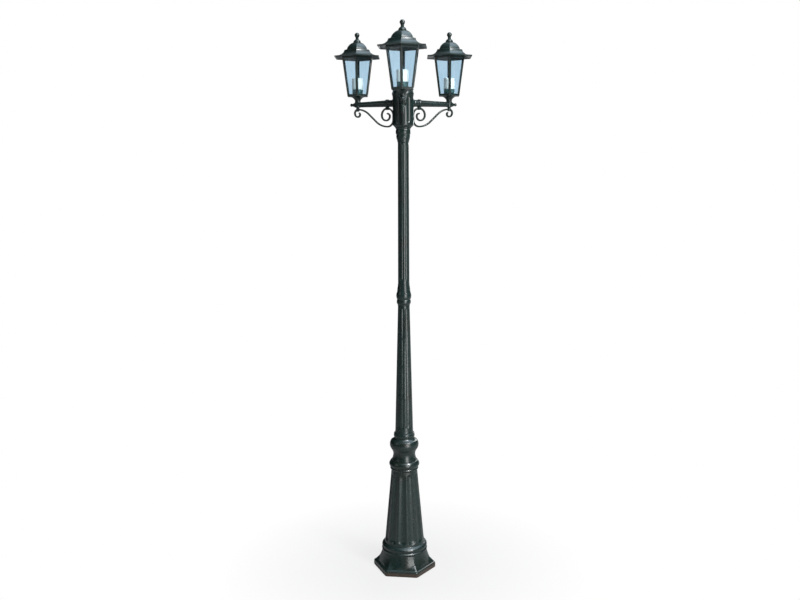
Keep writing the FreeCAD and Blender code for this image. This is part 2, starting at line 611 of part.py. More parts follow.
# The base collar: a cast neck with a waist, a bulge and a top ring. A spigot on it centres the lower
# column, and a recess below clears the tie plate's screws.
lower_seat = "base_height + collar_height"
mid_seat = lower_seat + " + lower_height"
upper_seat = mid_seat + " + mid_height"
top_seat = upper_seat + " + upper_height"
hub_seat = top_seat + " + top_height"
lower_spigot = "(lower_foot / 2 - column_wall - fit_gap)"
mid_spigot = "(lower_head / 2 - column_wall - fit_gap)"
upper_spigot = "(upper_foot / 2 - column_wall - fit_gap)"
top_spigot = "(upper_head / 2 - column_wall - fit_gap)"
recess = plate_circle + " / 2 + screw_head / 2 + fit_gap"
turned("base_collar", [
    (recess, "0"),
    ("collar_foot / 2", "0"),
    ("collar_foot / 2", "collar_edge"),
    ("waist_across / 2", "waist_height", "-waist_bow"),
    ("bulge_edge / 2", "waist_top", "-waist_bow"),
    ("bulge_edge / 2", "bulge_top", "bulge_bow"),
    ("ring_edge / 2", "ring_start", "-waist_bow"),
    ("ring_edge / 2", "collar_height", "ring_bow"),
    (lower_spigot, "collar_height"),
    (lower_spigot, "collar_height + spigot_height"),
    (lower_spigot + " - spigot_wall", "collar_height + spigot_height"),
    (lower_spigot + " - spigot_wall", "ring_start"),
    ("waist_across / 2 - collar_wall", "bulge_top"),
    ("waist_across / 2 - collar_wall", "2 * collar_recess"),
    (recess, "collar_recess"),
], turn="base_twist", up="base_height")


def column(label, foot, shaft, head, height, seat, depth, wide, slim):
    """A tapered, fluted tube with a flared foot, bored wider where the spigot below enters it."""
    bore = "(%s / 2 - column_wall)"
    body = turned(label, [
        (bore % foot, "0"),
        ("%s / 2" % foot, "0"),
        ("%s / 2" % shaft, "flare_height", "-flare_bow"),
        ("%s / 2" % head, height),
        (bore % head, height),
        (bore % shaft, "spigot_height + 2 * fit_gap"),
        (bore % foot, "spigot_height + 2 * fit_gap"),
    ], turn="base_twist", up=seat)
    taper = "(%s - %s) / 2 / (%s - flare_height)" % (shaft, head, height)
    flute(body, "flare_height + flute_margin", "%s - flute_margin" % height,
          "%s / 2 - %s * flute_margin" % (shaft, taper), "%s / 2 + %s * flute_margin" % (head, taper),
          depth, wide, slim)


# The two fluted columns, drawn tubes that taper upwards.
column("lower_column", "lower_foot", "lower_shaft", "lower_head", "lower_height", lower_seat,
       "lower_flute_depth", "lower_flute_wide", "lower_flute_slim")
column("upper_column", "upper_foot", "upper_shaft", "upper_head", "upper_height", upper_seat,
       "upper_flute_depth", "upper_flute_wide", "upper_flute_slim")

# The middle collar joins the two columns, with a spigot into each.
turned("mid_collar", [
    (mid_spigot + " - spigot_wall", "-spigot_height"),
    (mid_spigot, "-spigot_height"),
    (mid_spigot, "0"),
    ("mid_foot / 2", "0"),
    ("mid_foot / 2", "mid_ring_start - (mid_ring_edge - mid_foot) / 2"),
    ("mid_ring_edge / 2", "mid_ring_start"),
    ("mid_ring_edge / 2", "mid_ring_top", "mid_ring_bow"),
    ("mid_groove / 2", "(mid_ring_top + mid_bulge_start) / 2"),
    ("mid_bulge_edge / 2", "mid_bulge_start"),
    ("mid_bulge_edge / 2", "mid_bulge_top", "mid_bulge_bow"),
    ("mid_neck / 2", "mid_neck_height", "-flare_bow"),
    ("upper_foot / 2", "mid_height", "-flare_bow"),
    (upper_spigot, "mid_height"),
    (upper_spigot, "mid_height + spigot_height"),
    (mid_spigot + " - spigot_wall", "mid_height + spigot_height"),
], turn="base_twist", up=mid_seat)

# The top collar carries the hub, with a spigot down into the upper column.
turned("top_collar", [
    (top_spigot + " - spigot_wall", "-spigot_height"),
    (top_spigot, "-spigot_height"),
    (top_spigot, "0"),
    ("upper_head / 2 + top_foot_stand", "0"),
    ("top_ring_edge / 2", "top_ring_start", "-flare_bow"),
    ("top_ring_edge / 2", "top_ring_end", "top_ring_bow"),
    ("top_groove / 2", "(top_ring_end + top_bulge_start) / 2"),
    ("top_bulge_edge / 2", "top_bulge_start"),
    ("top_bulge_edge / 2", "top_bulge_end", "top_bulge_bow"),
    ("top_head / 2", "top_height - top_head_edge", "-flare_bow"),
    ("top_head / 2", "top_height"),
    (top_spigot + " - spigot_wall", "top_height"),
], turn="base_twist", up=top_seat)

# The hub: a fluted drum with a rim bead, open at the top, with a flat pad and a bore for each arm.
root = "(hub_across / 2 + pad_stand)"
hub = turned("hub", [
    ("tie_across / 2 + fit_gap", "0"),
    ("top_head / 2", "0"),
    ("hub_across / 2", "hub_chamfer"),
    ("hub_across / 2", "hub_rim_start"),
    ("hub_across / 2", "hub_rim_end", "hub_rim_bow"),
    ("hub_across / 2", "hub_height"),
    ("hub_bore / 2", "hub_height"),
    ("hub_bore / 2", "hub_floor"),
    ("tie_across / 2 + fit_gap", "hub_floor"),
], turn="30", up=hub_seat)
flute(hub, "hub_chamfer + flute_margin", "hub_rim_start - flute_margin / 2", "hub_across / 2", "hub_across / 2",
      "hub_flute_depth", "hub_flute_radius", "hub_flute_radius")
sketch = new_sketch(hub, "YZ_Plane", "hub_bore / 2")
circle(sketch, "0", "arm_level", "pad_across")
pad = feature(hub, "Pad", sketch, Length=root + " - hub_bore / 2")
sketch = new_sketch(hub, "YZ_Plane", root)
circle(sketch, "0", "arm_level", "tail_across + 2 * fit_gap")
bore = feature(hub, "Pocket", sketch, Length="hub_across / 2")
repeat(hub, [pad, bore], 3)
sketch = new_sketch(hub, "XY_Plane", "hub_height")
cap_circle = "(hub_bore + hub_across) / 4"
circle(sketch, cap_circle + " * cos(60)", cap_circle + " * sin(60)", "cap_screw")
hole = feature(hub, "Pocket", sketch, Length="cap_screw_deep")
repeat(hub, [hole], 3)

# The hub cap: a shallow dome that drops into the hub and is held by three round-head screws.
cap_inside = "(hub_bore / 2 - fit_gap - spigot_wall)"
cap = turned("hub_cap", [
    (cap_inside, "-cap_spigot"),
    ("hub_bore / 2 - fit_gap", "-cap_spigot"),
    ("hub_bore / 2 - fit_gap", "0"),
    ("cap_across / 2", "0"),
    ("cap_across / 2", "cap_rim"),
    ("hub_bore / 2", "cap_rim"),
    ("0", "cap_rim + cap_rise", cap_bow("hub_bore / 2", "cap_rise")),
    ("0", "cap_rise"),
    (cap_inside, "0", "-" + cap_bow(cap_inside, "cap_rise")),
], turn="30", up=hub_seat + " + hub_height")
sketch = new_sketch(cap, "XY_Plane")
circle(sketch, cap_circle + " * cos(60)", cap_circle + " * sin(60)", "cap_screw + fit_gap")
hole = feature(cap, "Pocket", sketch, Length="cap_rim", Reversed=True)
repeat(cap, [hole], 3)
shank = rod("cap_screw", "cap_rim + cap_screw_deep - tip_gap", up="tip_gap - cap_screw_deep", out=cap_circle)
head = rod("cap_screw_head", "cap_screw / 2", up="cap_rim", out=cap_circle)
new_piece("hub_cap_screws", copies_round(shank.fuse(head), THIRDS), turn="90", up=hub_seat + " + hub_height")

# The tie tube runs from the tie plate to the hub's floor and pulls the whole post together.
# The supply cable comes up through it.
tie_low = "%s - nut_thick - tie_spare" % ledge
tie_high = hub_seat + " + hub_floor + washer_thick + nut_thick + tie_spare"
tie = new_body("tie_tube", up=tie_low)
sketch = new_sketch(tie, "XY_Plane")
circle(sketch, "0", "0", "tie_across")
circle(sketch, "0", "0", "tie_bore")
feature(tie, "Pad", sketch, Length="(%s) - (%s)" % (tie_high, tie_low))
low_nut = nut("nut_flats", "nut_thick", "tie_across", up="%s - nut_thick" % ledge)
high_nut = nut("nut_flats", "nut_thick", "tie_across", up=hub_seat + " + hub_floor + washer_thick")
new_piece("tie_nuts", Part.makeCompound([low_nut, high_nut]))
washer = new_body("tie_washer", up=hub_seat + " + hub_floor")
sketch = new_sketch(washer, "XY_Plane")
circle(sketch, "0", "0", "washer_across")
circle(sketch, "0", "0", "tie_across + 2 * fit_gap")
feature(washer, "Pad", sketch, Length="washer_thick")

# The terminal block stands on the hub's floor, between two arms. Its ways join the supply cable
# to the three lamp leads.
block = new_body("terminal_block", up=hub_seat + " + hub_floor")
sketch = new_sketch(block, "XY_Plane")
block_near = "washer_across / 2 + block_gap"
trace(sketch, [
    ("-block_length / 2", block_near),
    ("block_length / 2", block_near),
    ("block_length / 2", block_near + " + block_width"),
    ("-block_length / 2", block_near + " + block_width"),
])
feature(block, "Pad", sketch, Length="block_height")
sketch = new_sketch(block, "XZ_Plane", "-(%s)" % block_near)
for way in (-1, 0, 1):
    circle(sketch, "%d * block_length / 3" % way, "block_way_level", "block_way")
feature(block, "Pocket", sketch, Length="block_width")

# The arms: tapered castings with a threaded tail that a nut holds inside the hub, a boss for
# the lantern and a ball at the end.
arm_height = "(%s + arm_level)" % hub_seat
arm_end = "(arm_reach + arm_past)"
taper_end = "(arm_reach + boss_across / 2)"
arm_slope = "(arm_root - arm_tip) / 2 / (%s - %s)" % (taper_end, root)
strap_start = "(strap_reach - strap_long / 2)"
arm_radius = "(arm_root / 2 - %s * (%s - %s))" % (arm_slope, strap_start, root)
nut_seat = "sqrt(hub_bore^2 / 4 - tail_nut_flats^2 / 3)"


def arm(label, turn):
    body = new_body(label, turn=turn, up=arm_height)
    sketch = new_sketch(body, "XZ_Plane")
    trace(sketch, [
        (root + " - tail_length", "0"),
        (arm_end, "0"),
        (arm_end, "arm_neck / 2"),
        (taper_end, "arm_tip / 2", "flare_bow"),
        (root, "arm_root / 2"),
        (root, "tail_across / 2"),
        (root + " - tail_length", "tail_across / 2"),
    ])
    spin(body, sketch, "H_Axis")
    sketch = new_sketch(body, "XY_Plane", "-boss_below")
    circle(sketch, "arm_reach", "0", "boss_across")
    feature(body, "Pad", sketch, Length="boss_below + boss_above")
    sketch = new_sketch(body, "XY_Plane", "boss_above")
    circle(sketch, "arm_reach", "0", "nipple_across + fit_gap")
    feature(body, "Pocket", sketch, Length="boss_below + boss_above")
    sketch = new_sketch(body, "YZ_Plane", root + " - tail_length")
    circle(sketch, "0", "0", "arm_bore")
    feature(body, "Pocket", sketch, Length="arm_reach - %s + tail_length" % root, Reversed=True)
    sketch = new_sketch(body, "YZ_Plane", arm_end)
    circle(sketch, "0", "0", "ball_stub + fit_gap")
    feature(body, "Pocket", sketch, Length="ball_stub_deep + 1")


def arm_ball(label, turn):
    """The ball has a flat that meets the arm's end, and a stub that enters it."""
    body = new_body(label, turn=turn, up=arm_height)
    sketch = new_sketch(body, "XZ_Plane")
    rise = "sqrt(ball_across^2 / 4 - arm_neck^2 / 4) + ball_across / 2"
    trace(sketch, [
        (arm_end, "0"),
        ("%s + %s" % (arm_end, rise), "0"),
        (arm_end, "arm_neck / 2", cap_bow("arm_neck / 2", rise)),
    ])
    spin(body, sketch, "H_Axis")
    sketch = new_sketch(body, "YZ_Plane", arm_end)
    circle(sketch, "0", "0", "ball_stub")
    feature(body, "Pad", sketch, Length="ball_stub_deep", Reversed=True)


def bent_bar(branches, thick, wide):
    """A flat bar bent in the upright plane: each branch is a start, a heading and a list of moves.

    A move is a straight run (0, length) or an arc (turn in degrees, radius), left turns positive.
    The bar's two sides follow the path at half its thickness, and its ends are round.
    """
    edges = []
    for (x, z), heading, moves in branches:
        for turn, amount in moves:
            angle = math.radians(heading)
            ahead = (math.cos(angle), math.sin(angle))
            left = (-ahead[1], ahead[0])
            if turn == 0:
                stops = [(x, z, left), (x + ahead[0] * amount, z + ahead[1] * amount, left)]
            else:
                side = math.copysign(1.0, turn)
                centre = (x + left[0] * side * amount, z + left[1] * side * amount)
                stops = []
                for share in (0.0, 0.5, 1.0):
                    swung = math.radians(heading + turn * share)
                    out = (-math.sin(swung), math.cos(swung))
                    stops.append((centre[0] - out[0] * side * amount, centre[1] - out[1] * side * amount, out))
            for shift in (-thick / 2, thick / 2):
                points = [
                    FreeCAD.Vector(a + out[0] * shift, -wide / 2, b + out[1] * shift)
                    for a, b, out in stops
                ]
                curve = Part.LineSegment(*points) if turn == 0 else Part.Arc(*points)
                edges.append(curve.toShape())
            x, z, left = stops[-1]
            heading += turn
        ahead = (left[1], -left[0])
        tip = [(-left[0], -left[1]), ahead, left]
        points = [FreeCAD.Vector(x + a * thick / 2, -wide / 2, z + b * thick / 2) for a, b in tip]
        edges.append(Part.Arc(*points).toShape())
    outline = Part.Wire(Part.__sortEdges__(edges))
    return Part.Face(outline).extrude(FreeCAD.Vector(0, wide, 0))


def scroll_bar():
    """The S-scroll of one arm, from where the strap holds it: in to the big loop, out to the curl."""
    hub_side = reckon("hub_across / 2 + hub_gap + bar_thick / 2")
    hold = (reckon("strap_reach"), reckon("-scroll_drop"))
    loop_top = hold[0] - hub_side
    slope = math.radians(reckon("sweep_angle"))
    # an S of two equal arcs and a straight, from the lowest run up to the eye nut
    reach = reckon("arm_reach - loop_low") - hub_side
    rise = reckon("scroll_depth")
    flat = 1 - math.cos(slope)
    sweep = (reach * math.sin(slope) - rise * math.cos(slope)) / flat / 2
    straight = (rise * math.sin(slope) - reach * flat) / flat
    turn = math.degrees(slope)
    inward = [(-90, reckon(name)) for name in ("loop_outer", "loop_under", "loop_inner", "loop_tip")]
    outward = [
        (90, loop_top),
        (0, rise - reckon("loop_low") - loop_top),
        (90, reckon("loop_low")),
        (turn, sweep),
        (0, straight),
        (-turn, sweep),
        (-90, reckon("curl_outer")),
        (-90, reckon("curl_under")),
        (-90, reckon("curl_inner")),
        (-reckon("curl_tip_turn"), reckon("curl_tip")),
    ]
    return bent_bar([(hold, 0, inward), (hold, 180, outward)], reckon("bar_thick"), reckon("bar_wide"))


def strap(label, turn):
    """A ring round the arm with a tongue that holds the scroll's big loop."""
    body = new_body(label, turn=turn, up=arm_height)
    sketch = new_sketch(body, "YZ_Plane", strap_start)
    ring = "(%s + fit_gap + strap_thick)" % arm_radius
    half = "(bar_wide / 2 + strap_cheek)"
    low = "-(scroll_drop + bar_thick / 2 + strap_cheek)"
    shoulder = "sqrt(%s^2 - %s^2)" % (ring, half)
    trace(sketch, [
        ("-" + half, low),
        (half, low),
        (half, "-" + shoulder),
        ("-" + half, "-" + shoulder, "%s + %s" % (ring, shoulder)),
    ])
    circle(sketch, "0", "0", "2 * (%s + fit_gap)" % arm_radius)
    bar_hole(sketch, "strap_long^2 / 8 / loop_outer")
    feature(body, "Pad", sketch, Length="strap_long")


def bar_hole(sketch, sag):
    """The square hole that the bar runs through, deeper by the bar's own bend."""
    half = "(bar_wide / 2 + fit_gap)"
    high = "-(scroll_drop - bar_thick / 2 - fit_gap)"
    low = "-(scroll_drop + bar_thick / 2 + fit_gap + %s)" % sag
    trace(sketch, [("-" + half, low), (half, low), (half, high), ("-" + half, high)])


def eye_nut(label, turn):
    """The nut under the arm's boss: the nipple screws into it, and the scroll runs through its eye."""
    sag = "eye_across^2 / 8 / curl_outer"
    low = "-(scroll_drop + bar_thick / 2 + %s + strap_cheek)" % sag
    body = turned(label, [
        ("0", low),
        ("eye_across / 2", low),
        ("eye_across / 2", "-boss_below"),
        ("0", "-boss_below"),
    ], turn=turn, out="arm_reach", up=arm_height)
    sketch = new_sketch(body, "YZ_Plane", "eye_across / 2")
    bar_hole(sketch, sag)
    feature(body, "Pocket", sketch, Length="eye_across")
    sketch = new_sketch(body, "XY_Plane", "-boss_below")
    circle(sketch, "0", "0", "nipple_across + fit_gap")
    feature(body, "Pocket", sketch, Length="nipple_in_eye")


# The lanterns. Each is measured from the top of its arm's boss, with a corner over the arm.
boss_top = arm_height + " + boss_above"
body_seat = boss_top + " + cup_height"
roof_foot = body_seat + " + body_height + roof_seat"
holder_seat = body_seat + " + frame_floor"
sleeve_seat = holder_seat + " + holder_base_height"
slant = "((body_high - body_low) / body_height)"
ACROSS_FLATS = math.cos(math.radians(30))


def cup(label, **where):
    """The cup: a hollow-sided flare from the arm's boss to a hexagonal plate."""
    body = new_body(label, up=boss_top, **where)
    sketch = new_sketch(body, "XY_Plane", "cup_height - cup_plate")
    trace(sketch, hexagon("body_low"))
    feature(body, "Pad", sketch, Length="cup_plate")
    sketch = new_sketch(body, "XZ_Plane")
    trace(sketch, [
        ("0", "0"),
        ("neck_across / 2", "0"),
        ("neck_across / 2", "neck_height"),
        ("cup_flare / 2", "cup_height - cup_plate", "-cup_bow"),
        ("0", "cup_height - cup_plate"),
    ])
    spin(body, sketch)
    sketch = new_sketch(body, "XY_Plane", "cup_height")
    circle(sketch, "0", "0", "nipple_across + fit_gap")
    feature(body, "Pocket", sketch, Length="cup_height")


def frame(label, **where):
    """The lantern frame: six corner bars between a lower and an upper band, on a thin floor."""
    body = new_body(label, up=body_seat, **where)
    wall = "2 * frame_wall / cos(30)"
    for kind, low, high, less in (
        ("AdditiveLoft", "0", "body_height", "0"),
        ("SubtractiveLoft", "frame_floor", "body_height", wall),
    ):
        sketches = []
        for level in (low, high):
            level_sketch = new_sketch(body, "XY_Plane", level)
            trace(level_sketch, hexagon("body_low + %s * %s - %s" % (slant, level, less)))
            sketches.append(level_sketch)
        feature(body, kind, sketches[0], Sections=[sketches[1]], Ruled=True)
    sketch = new_sketch(body, "XZ_Plane")
    low = "frame_foot_band"
    high = "(body_height - frame_head_band)"
    low_half = "((body_low + %s * %s) / 4 - frame_bar)" % (slant, low)
    high_half = "((body_low + %s * %s) / 4 - frame_bar)" % (slant, high)
    trace(sketch, [("-" + low_half, low), (low_half, low), (high_half, high), ("-" + high_half, high)])
    window = feature(body, "Pocket", sketch, Length="body_high")
    repeat(body, [window], 6)
    sketch = new_sketch(body, "XY_Plane", "frame_floor")
    circle(sketch, "0", "0", "nipple_across + fit_gap")
    feature(body, "Pocket", sketch, Length="frame_floor")


def panes():
    """Six flat panes that stand on the frame's floor and lean against it from inside."""
    corners = []
    for level in ("frame_floor + pane_gap", "body_height - roof_lip - pane_gap"):
        flat = reckon("body_low + %s * (%s)" % (slant, level)) / 2 * ACROSS_FLATS
        out = flat - reckon("frame_wall + pane_gap")
        half = (out - reckon("pane_thick + pane_gap")) * math.tan(math.radians(30))
        corners.append([FreeCAD.Vector(side * half, out, reckon(level)) for side in (-1, 1)])
    ring = [corners[0][0], corners[0][1], corners[1][1], corners[1][0], corners[0][0]]
    face = Part.Face(Part.makePolygon(ring))
    inward = face.normalAt(0, 0)
    if inward.y > 0:
        inward = -inward
    pane = face.extrude(inward * reckon("pane_thick"))
    return copies_round(pane, range(0, 360, 60))


def hexagonal(corners):
    """A solid whose every level section is a hexagon: one outline drawn through three times and crossed.

    Corners are (half of the size corner to corner, height) or (half, height, bow), from the foot's
    middle to the top's middle.
    """
    points = [(reckon(corner[0]) * ACROSS_FLATS, reckon(corner[1])) for corner in corners]
    edges = []
    for mirror in (-1, 1):
        for start, end, corner in zip(points, points[1:], corners[1:]):
            here = FreeCAD.Vector(0, start[0] * mirror, start[1])
            there = FreeCAD.Vector(0, end[0] * mirror, end[1])
            if len(corner) == 2:
                edges.append(Part.LineSegment(here, there).toShape())
                continue
            along = there - here
            out = FreeCAD.Vector(0, along.z * mirror, -along.y * mirror).normalize()
            middle = (here + there) * 0.5 + out * reckon(corner[2])
            edges.append(Part.Arc(here, middle, there).toShape())
    face = Part.Face(Part.Wire(Part.__sortEdges__(edges)))
    span = 2 * max(point[0] for point in points)
    prism = face.extrude(FreeCAD.Vector(2 * span, 0, 0))
    prism.translate(FreeCAD.Vector(-span, 0, 0))
    solid = prism
    for turn in (60, 120):
        crossed = prism.copy()
        crossed.rotate(FreeCAD.Vector(0, 0, 0), FreeCAD.Vector(0, 0, 1), turn)
        solid = solid.common(crossed)
    return solid


def hexagonal_bar(across, low, high):
    """An upright hexagonal bar between two heights."""
    half = "(%s) / 2" % across
    return hexagonal([("0", low), (half, low), (half, high), ("0", high)])


def roof_shape():
    """The roof: a swept eave, a step and a dome, hollow, on a hexagonal seat with a lip below."""
    outside = hexagonal([
        ("0", "0"),
        ("eave_across / 2", "0"),
        ("eave_across / 2", "eave_edge"),
        ("sweep_across / 2", "sweep_height", "-eave_bow"),
        ("step_low / 2", "step_height", "-sweep_bow"),
        ("step_high / 2", "step_height + step_rise"),
        ("dome_head / 2", "roof_height", "dome_bow"),
        ("0", "roof_height"),
    ])
    inside = hexagonal([
        ("0", "0"),
        ("eave_across / 2 - 1.5 * roof_wall", "0"),
        ("eave_across / 2 - 1.5 * roof_wall", "eave_edge - roof_wall"),
        ("sweep_across / 2", "sweep_height - 1.1 * roof_wall", "-eave_bow"),
        ("step_low / 2 - roof_wall", "step_height - roof_wall / 2", "-sweep_bow"),
        ("step_high / 2 - roof_wall", "step_height + step_rise - roof_wall / 2"),
        ("dome_head / 2 - roof_wall / 2", "roof_height - roof_wall", "dome_bow"),
        ("0", "roof_height - roof_wall"),
    ])
    lip_level = "(body_height - roof_lip)"
    lip = "(body_low + %s * %s - 2 * (frame_wall + lip_gap) / cos(30))" % (slant, lip_level)
    lip_bore = "(%s - 2 * lip_wall / cos(30))" % lip
    # the seat rises until it meets the roof, and never stands out of it
    seat = hexagonal_bar("body_high", "-roof_seat", "step_height").common(
        outside.fuse(hexagonal_bar("body_high", "-roof_seat", "roof_wall")))
    drop = hexagonal_bar(lip, "-roof_seat - roof_lip", "0")
    hollow = hexagonal_bar(lip_bore, "-roof_seat - roof_lip", "step_height")
    boss = rod("stud_boss", "stud_deep", up="roof_height - stud_deep")
    roof = outside.cut(inside).fuse([seat.cut(hollow), drop.cut(hollow), boss])
    return roof.cut(rod("stud_across", "stud_deep + 1", up="roof_height - stud_deep")).removeSplitter()


def finial(label, **where):
    """The finial: a round foot, a neck and a ball, with a stud screwed into the roof."""
    neck_top = "(button_height + finial_neck_height)"
    rise = "sqrt(finial_ball^2 / 4 - finial_neck^2 / 4) + finial_ball / 2"
    turned(label, [
        ("0", "-stud_deep"),
        ("stud_across / 2", "-stud_deep"),
        ("stud_across / 2", "0"),
        ("button_across / 2", "0"),
        ("button_across / 2", "button_edge"),
        ("finial_neck / 2", "button_height", "button_bow"),
        ("finial_neck / 2", neck_top),
        ("0", "%s + %s" % (neck_top, rise), cap_bow("finial_neck / 2", rise)),
    ], up=roof_foot + " + roof_height", **where)


def lampholder(name, **where):
    """The lampholder: a metal base, a ceramic sleeve and a threaded shell with its centre contact."""
    nipple_hole = "(nipple_across + fit_gap) / 2"
    turned("holder_base_" + name, [
        (nipple_hole, "0"),
        ("holder_across / 2", "0"),
        ("holder_across / 2", "holder_base_height"),
        ("holder_across / 2 - holder_wall", "holder_base_height"),
        ("holder_across / 2 - holder_wall", "holder_wall"),
        (nipple_hole, "holder_wall"),
    ], up=holder_seat, **where)
    pit = "(sleeve_height - sleeve_lip - shell_height)"
    bore = "(thread_bore / 2 + shell_wall + shell_gap)"
    recess = "(contact_across / 2 + shell_gap)"
    contact_foot = "(%s + shell_wall - contact_sunk - contact_height)" % pit
    turned("holder_sleeve_" + name, [
        ("contact_across / 4", "-sleeve_spigot"),
        ("holder_across / 2 - holder_wall - fit_gap", "-sleeve_spigot"),
        ("holder_across / 2 - holder_wall - fit_gap", "0"),
        ("sleeve_across / 2", "0"),
        ("sleeve_across / 2", "sleeve_height - sleeve_lip"),
        ("sleeve_across / 2 + sleeve_lip_stand", "sleeve_height - sleeve_lip"),
        ("sleeve_across / 2 + sleeve_lip_stand", "sleeve_height"),
        (bore, "sleeve_height"),
        (bore, pit),
        (recess, pit),
        (recess, contact_foot),
        ("contact_across / 4", contact_foot),
    ], up=sleeve_seat, **where)
    tube = rod("thread_bore + 2 * shell_wall", "shell_height").cut(rod("thread_bore", "shell_height"))
    floor = rod("thread_bore + 2 * shell_wall", "shell_wall").cut(rod("2 * contact_across", "shell_wall"))
    contact = rod("contact_across", "contact_height", up="shell_wall - contact_sunk - contact_height")
    shell = Part.makeCompound([tube.fuse(floor).removeSplitter(), contact])
    new_piece("lamp_socket_" + name, shell, up="%s + %s" % (sleeve_seat, pit), **where)
    nipple_top = "cup_height + frame_floor + holder_wall + nipple_nut_thick + 1"
    nipple_low = "-(boss_above + boss_below + nipple_in_eye)"
    pipe = rod("nipple_across", "%s - %s" % (nipple_top, nipple_low), up=nipple_low)
    pipe = pipe.cut(rod("nipple_bore", "%s - %s" % (nipple_top, nipple_low), up=nipple_low))
    new_piece("nipple_" + name, pipe, up=boss_top, **where)


scroll = scroll_bar()
pane_set = panes()
roof = roof_shape()
for name, angle in ARMS.items():
    turn = str(angle)
    arm("arm_" + name, turn)
    arm_ball("arm_ball_" + name, turn)
    new_piece("scroll_" + name, scroll, turn=turn, up=arm_height)
    strap("scroll_strap_" + name, turn)
    eye_nut("eye_nut_" + name, turn)
    where = {"turn": turn, "out": "arm_reach", "twist": TWISTS.get(name, "0")}
    cup("lantern_cup_" + name, **where)
    frame("lantern_frame_" + name, **where)
    new_piece("lantern_panes_" + name, pane_set, up=body_seat, **where)
    new_piece("lantern_roof_" + name, roof, up=roof_foot, **where)
    finial("roof_finial_" + name, **where)
    lampholder(name, **where)

# The nuts that hold the arms' tails inside the hub, and those that hold the lampholders down.
arm_nut = nut("tail_nut_flats", "tail_nut_thick", "tail_across")
arm_nut.rotate(FreeCAD.Vector(0, 0, 0), FreeCAD.Vector(0, 1, 0), 90)
arm_nut.translate(FreeCAD.Vector(reckon("%s - tail_nut_thick" % nut_seat), 0, 0))
new_piece("arm_nuts", copies_round(arm_nut, ARMS.values()), up=arm_height)
nipple_nut = nut("nipple_nut_flats", "nipple_nut_thick", "nipple_across", up="holder_wall", out="arm_reach")
new_piece("nipple_nuts", copies_round(nipple_nut, ARMS.values()), up=holder_seat)

# Every object and every piece has to be sound before any file is written.
doc.recompute()
faults = [item.Name for item in doc.Objects if "Invalid" in item.State or "Error" in item.State]
faults += [piece.Label for piece in pieces if piece.Shape.isNull() or not piece.Shape.isValid()]
if faults:
    raise ValueError("unsound: " + ", ".join(faults))
os.makedirs("parts", exist_ok=True)
for piece in pieces:
    piece.Shape.exportStep(os.path.join("parts", piece.Label + ".step"))
print("%d pieces" % len(pieces))
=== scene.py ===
import math

import bmesh
import bpy
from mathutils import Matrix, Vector


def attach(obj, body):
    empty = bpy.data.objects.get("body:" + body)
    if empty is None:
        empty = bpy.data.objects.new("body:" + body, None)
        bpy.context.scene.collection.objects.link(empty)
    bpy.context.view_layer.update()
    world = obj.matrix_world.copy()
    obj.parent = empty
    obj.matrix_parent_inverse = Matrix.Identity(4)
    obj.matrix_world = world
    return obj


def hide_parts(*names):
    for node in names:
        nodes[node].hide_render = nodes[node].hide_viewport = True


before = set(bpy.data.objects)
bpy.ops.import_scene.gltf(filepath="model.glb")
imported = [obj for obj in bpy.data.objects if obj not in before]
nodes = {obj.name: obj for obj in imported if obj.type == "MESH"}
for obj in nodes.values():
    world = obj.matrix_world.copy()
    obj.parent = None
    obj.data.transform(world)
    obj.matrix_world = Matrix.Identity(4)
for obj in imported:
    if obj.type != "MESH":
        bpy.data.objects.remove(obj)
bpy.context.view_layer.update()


# ---- Camera ----
# A plain camera with a slightly long lens, fitted to the post's outlines. It stands 3.7 m in
# front of the post at about eye height, and looks a little down at it.

STANDS_AT = (0.0352, -3.6699, 1.7510)
LOOKS_DOWN = 8.71
LOOKS_LEFT = 0.767
LEANS = 0.0037

camera_data = bpy.data.cameras.new("camera")
camera_data.sensor_width = 36.0
camera_data.lens = 39.5
camera_data.clip_end = 100.0
camera = bpy.data.objects.new("camera", camera_data)
camera.location = STANDS_AT
camera.rotation_euler = (math.radians(90 - LOOKS_DOWN), LEANS, math.radians(LOOKS_LEFT))
bpy.context.scene.collection.objects.link(camera)
bpy.context.scene.camera = camera
bpy.context.scene.view_settings.view_transform = "Standard"


# ---- Studio ----
# A pale floor and backdrop with no edge between them. A key light and a long strip hang high in
# front on the right, a tall strip stands lower on the right, and weaker fills light the left and
# the back. The gloss shows a cool sky.

def add_node(tree, kind, **values):
    """One shader node, with its settings and its unlinked inputs."""
    node = tree.nodes.new("ShaderNode" + kind)
    for name, value in values.items():
        if hasattr(node, name):
            setattr(node, name, value)
        else:
            node.inputs[name.replace("_", " ")].default_value = value
    return node


def shade(tree, source, low, high, start, end):
    """A number that runs from low to high while its source runs from start to end."""
    made = add_node(tree, "MapRange", From_Min=start, From_Max=end, To_Min=low, To_Max=high)
    tree.links.new(source, made.inputs["Value"])
    return made.outputs["Result"]


def combine(tree, operation, first, second):
    """Two numbers joined: multiplied, the larger of them, or 1 where the first is less."""
    made = add_node(tree, "Math", operation=operation)
    for socket, value in zip(made.inputs, (first, second)):
        if isinstance(value, (int, float)):
            socket.default_value = value
        else:
            tree.links.new(value, socket)
    return made.outputs[0]


def choose(tree, factor, first, second):
    """The first number where the factor is 0, and the second where it is 1."""
    made = add_node(tree, "Mix", data_type="FLOAT")
    tree.links.new(factor, made.inputs["Factor"])
    for name, value in (("A", first), ("B", second)):
        if isinstance(value, (int, float)):
            made.inputs[name].default_value = value
        else:
            tree.links.new(value, made.inputs[name])
    return made.outputs["Result"]


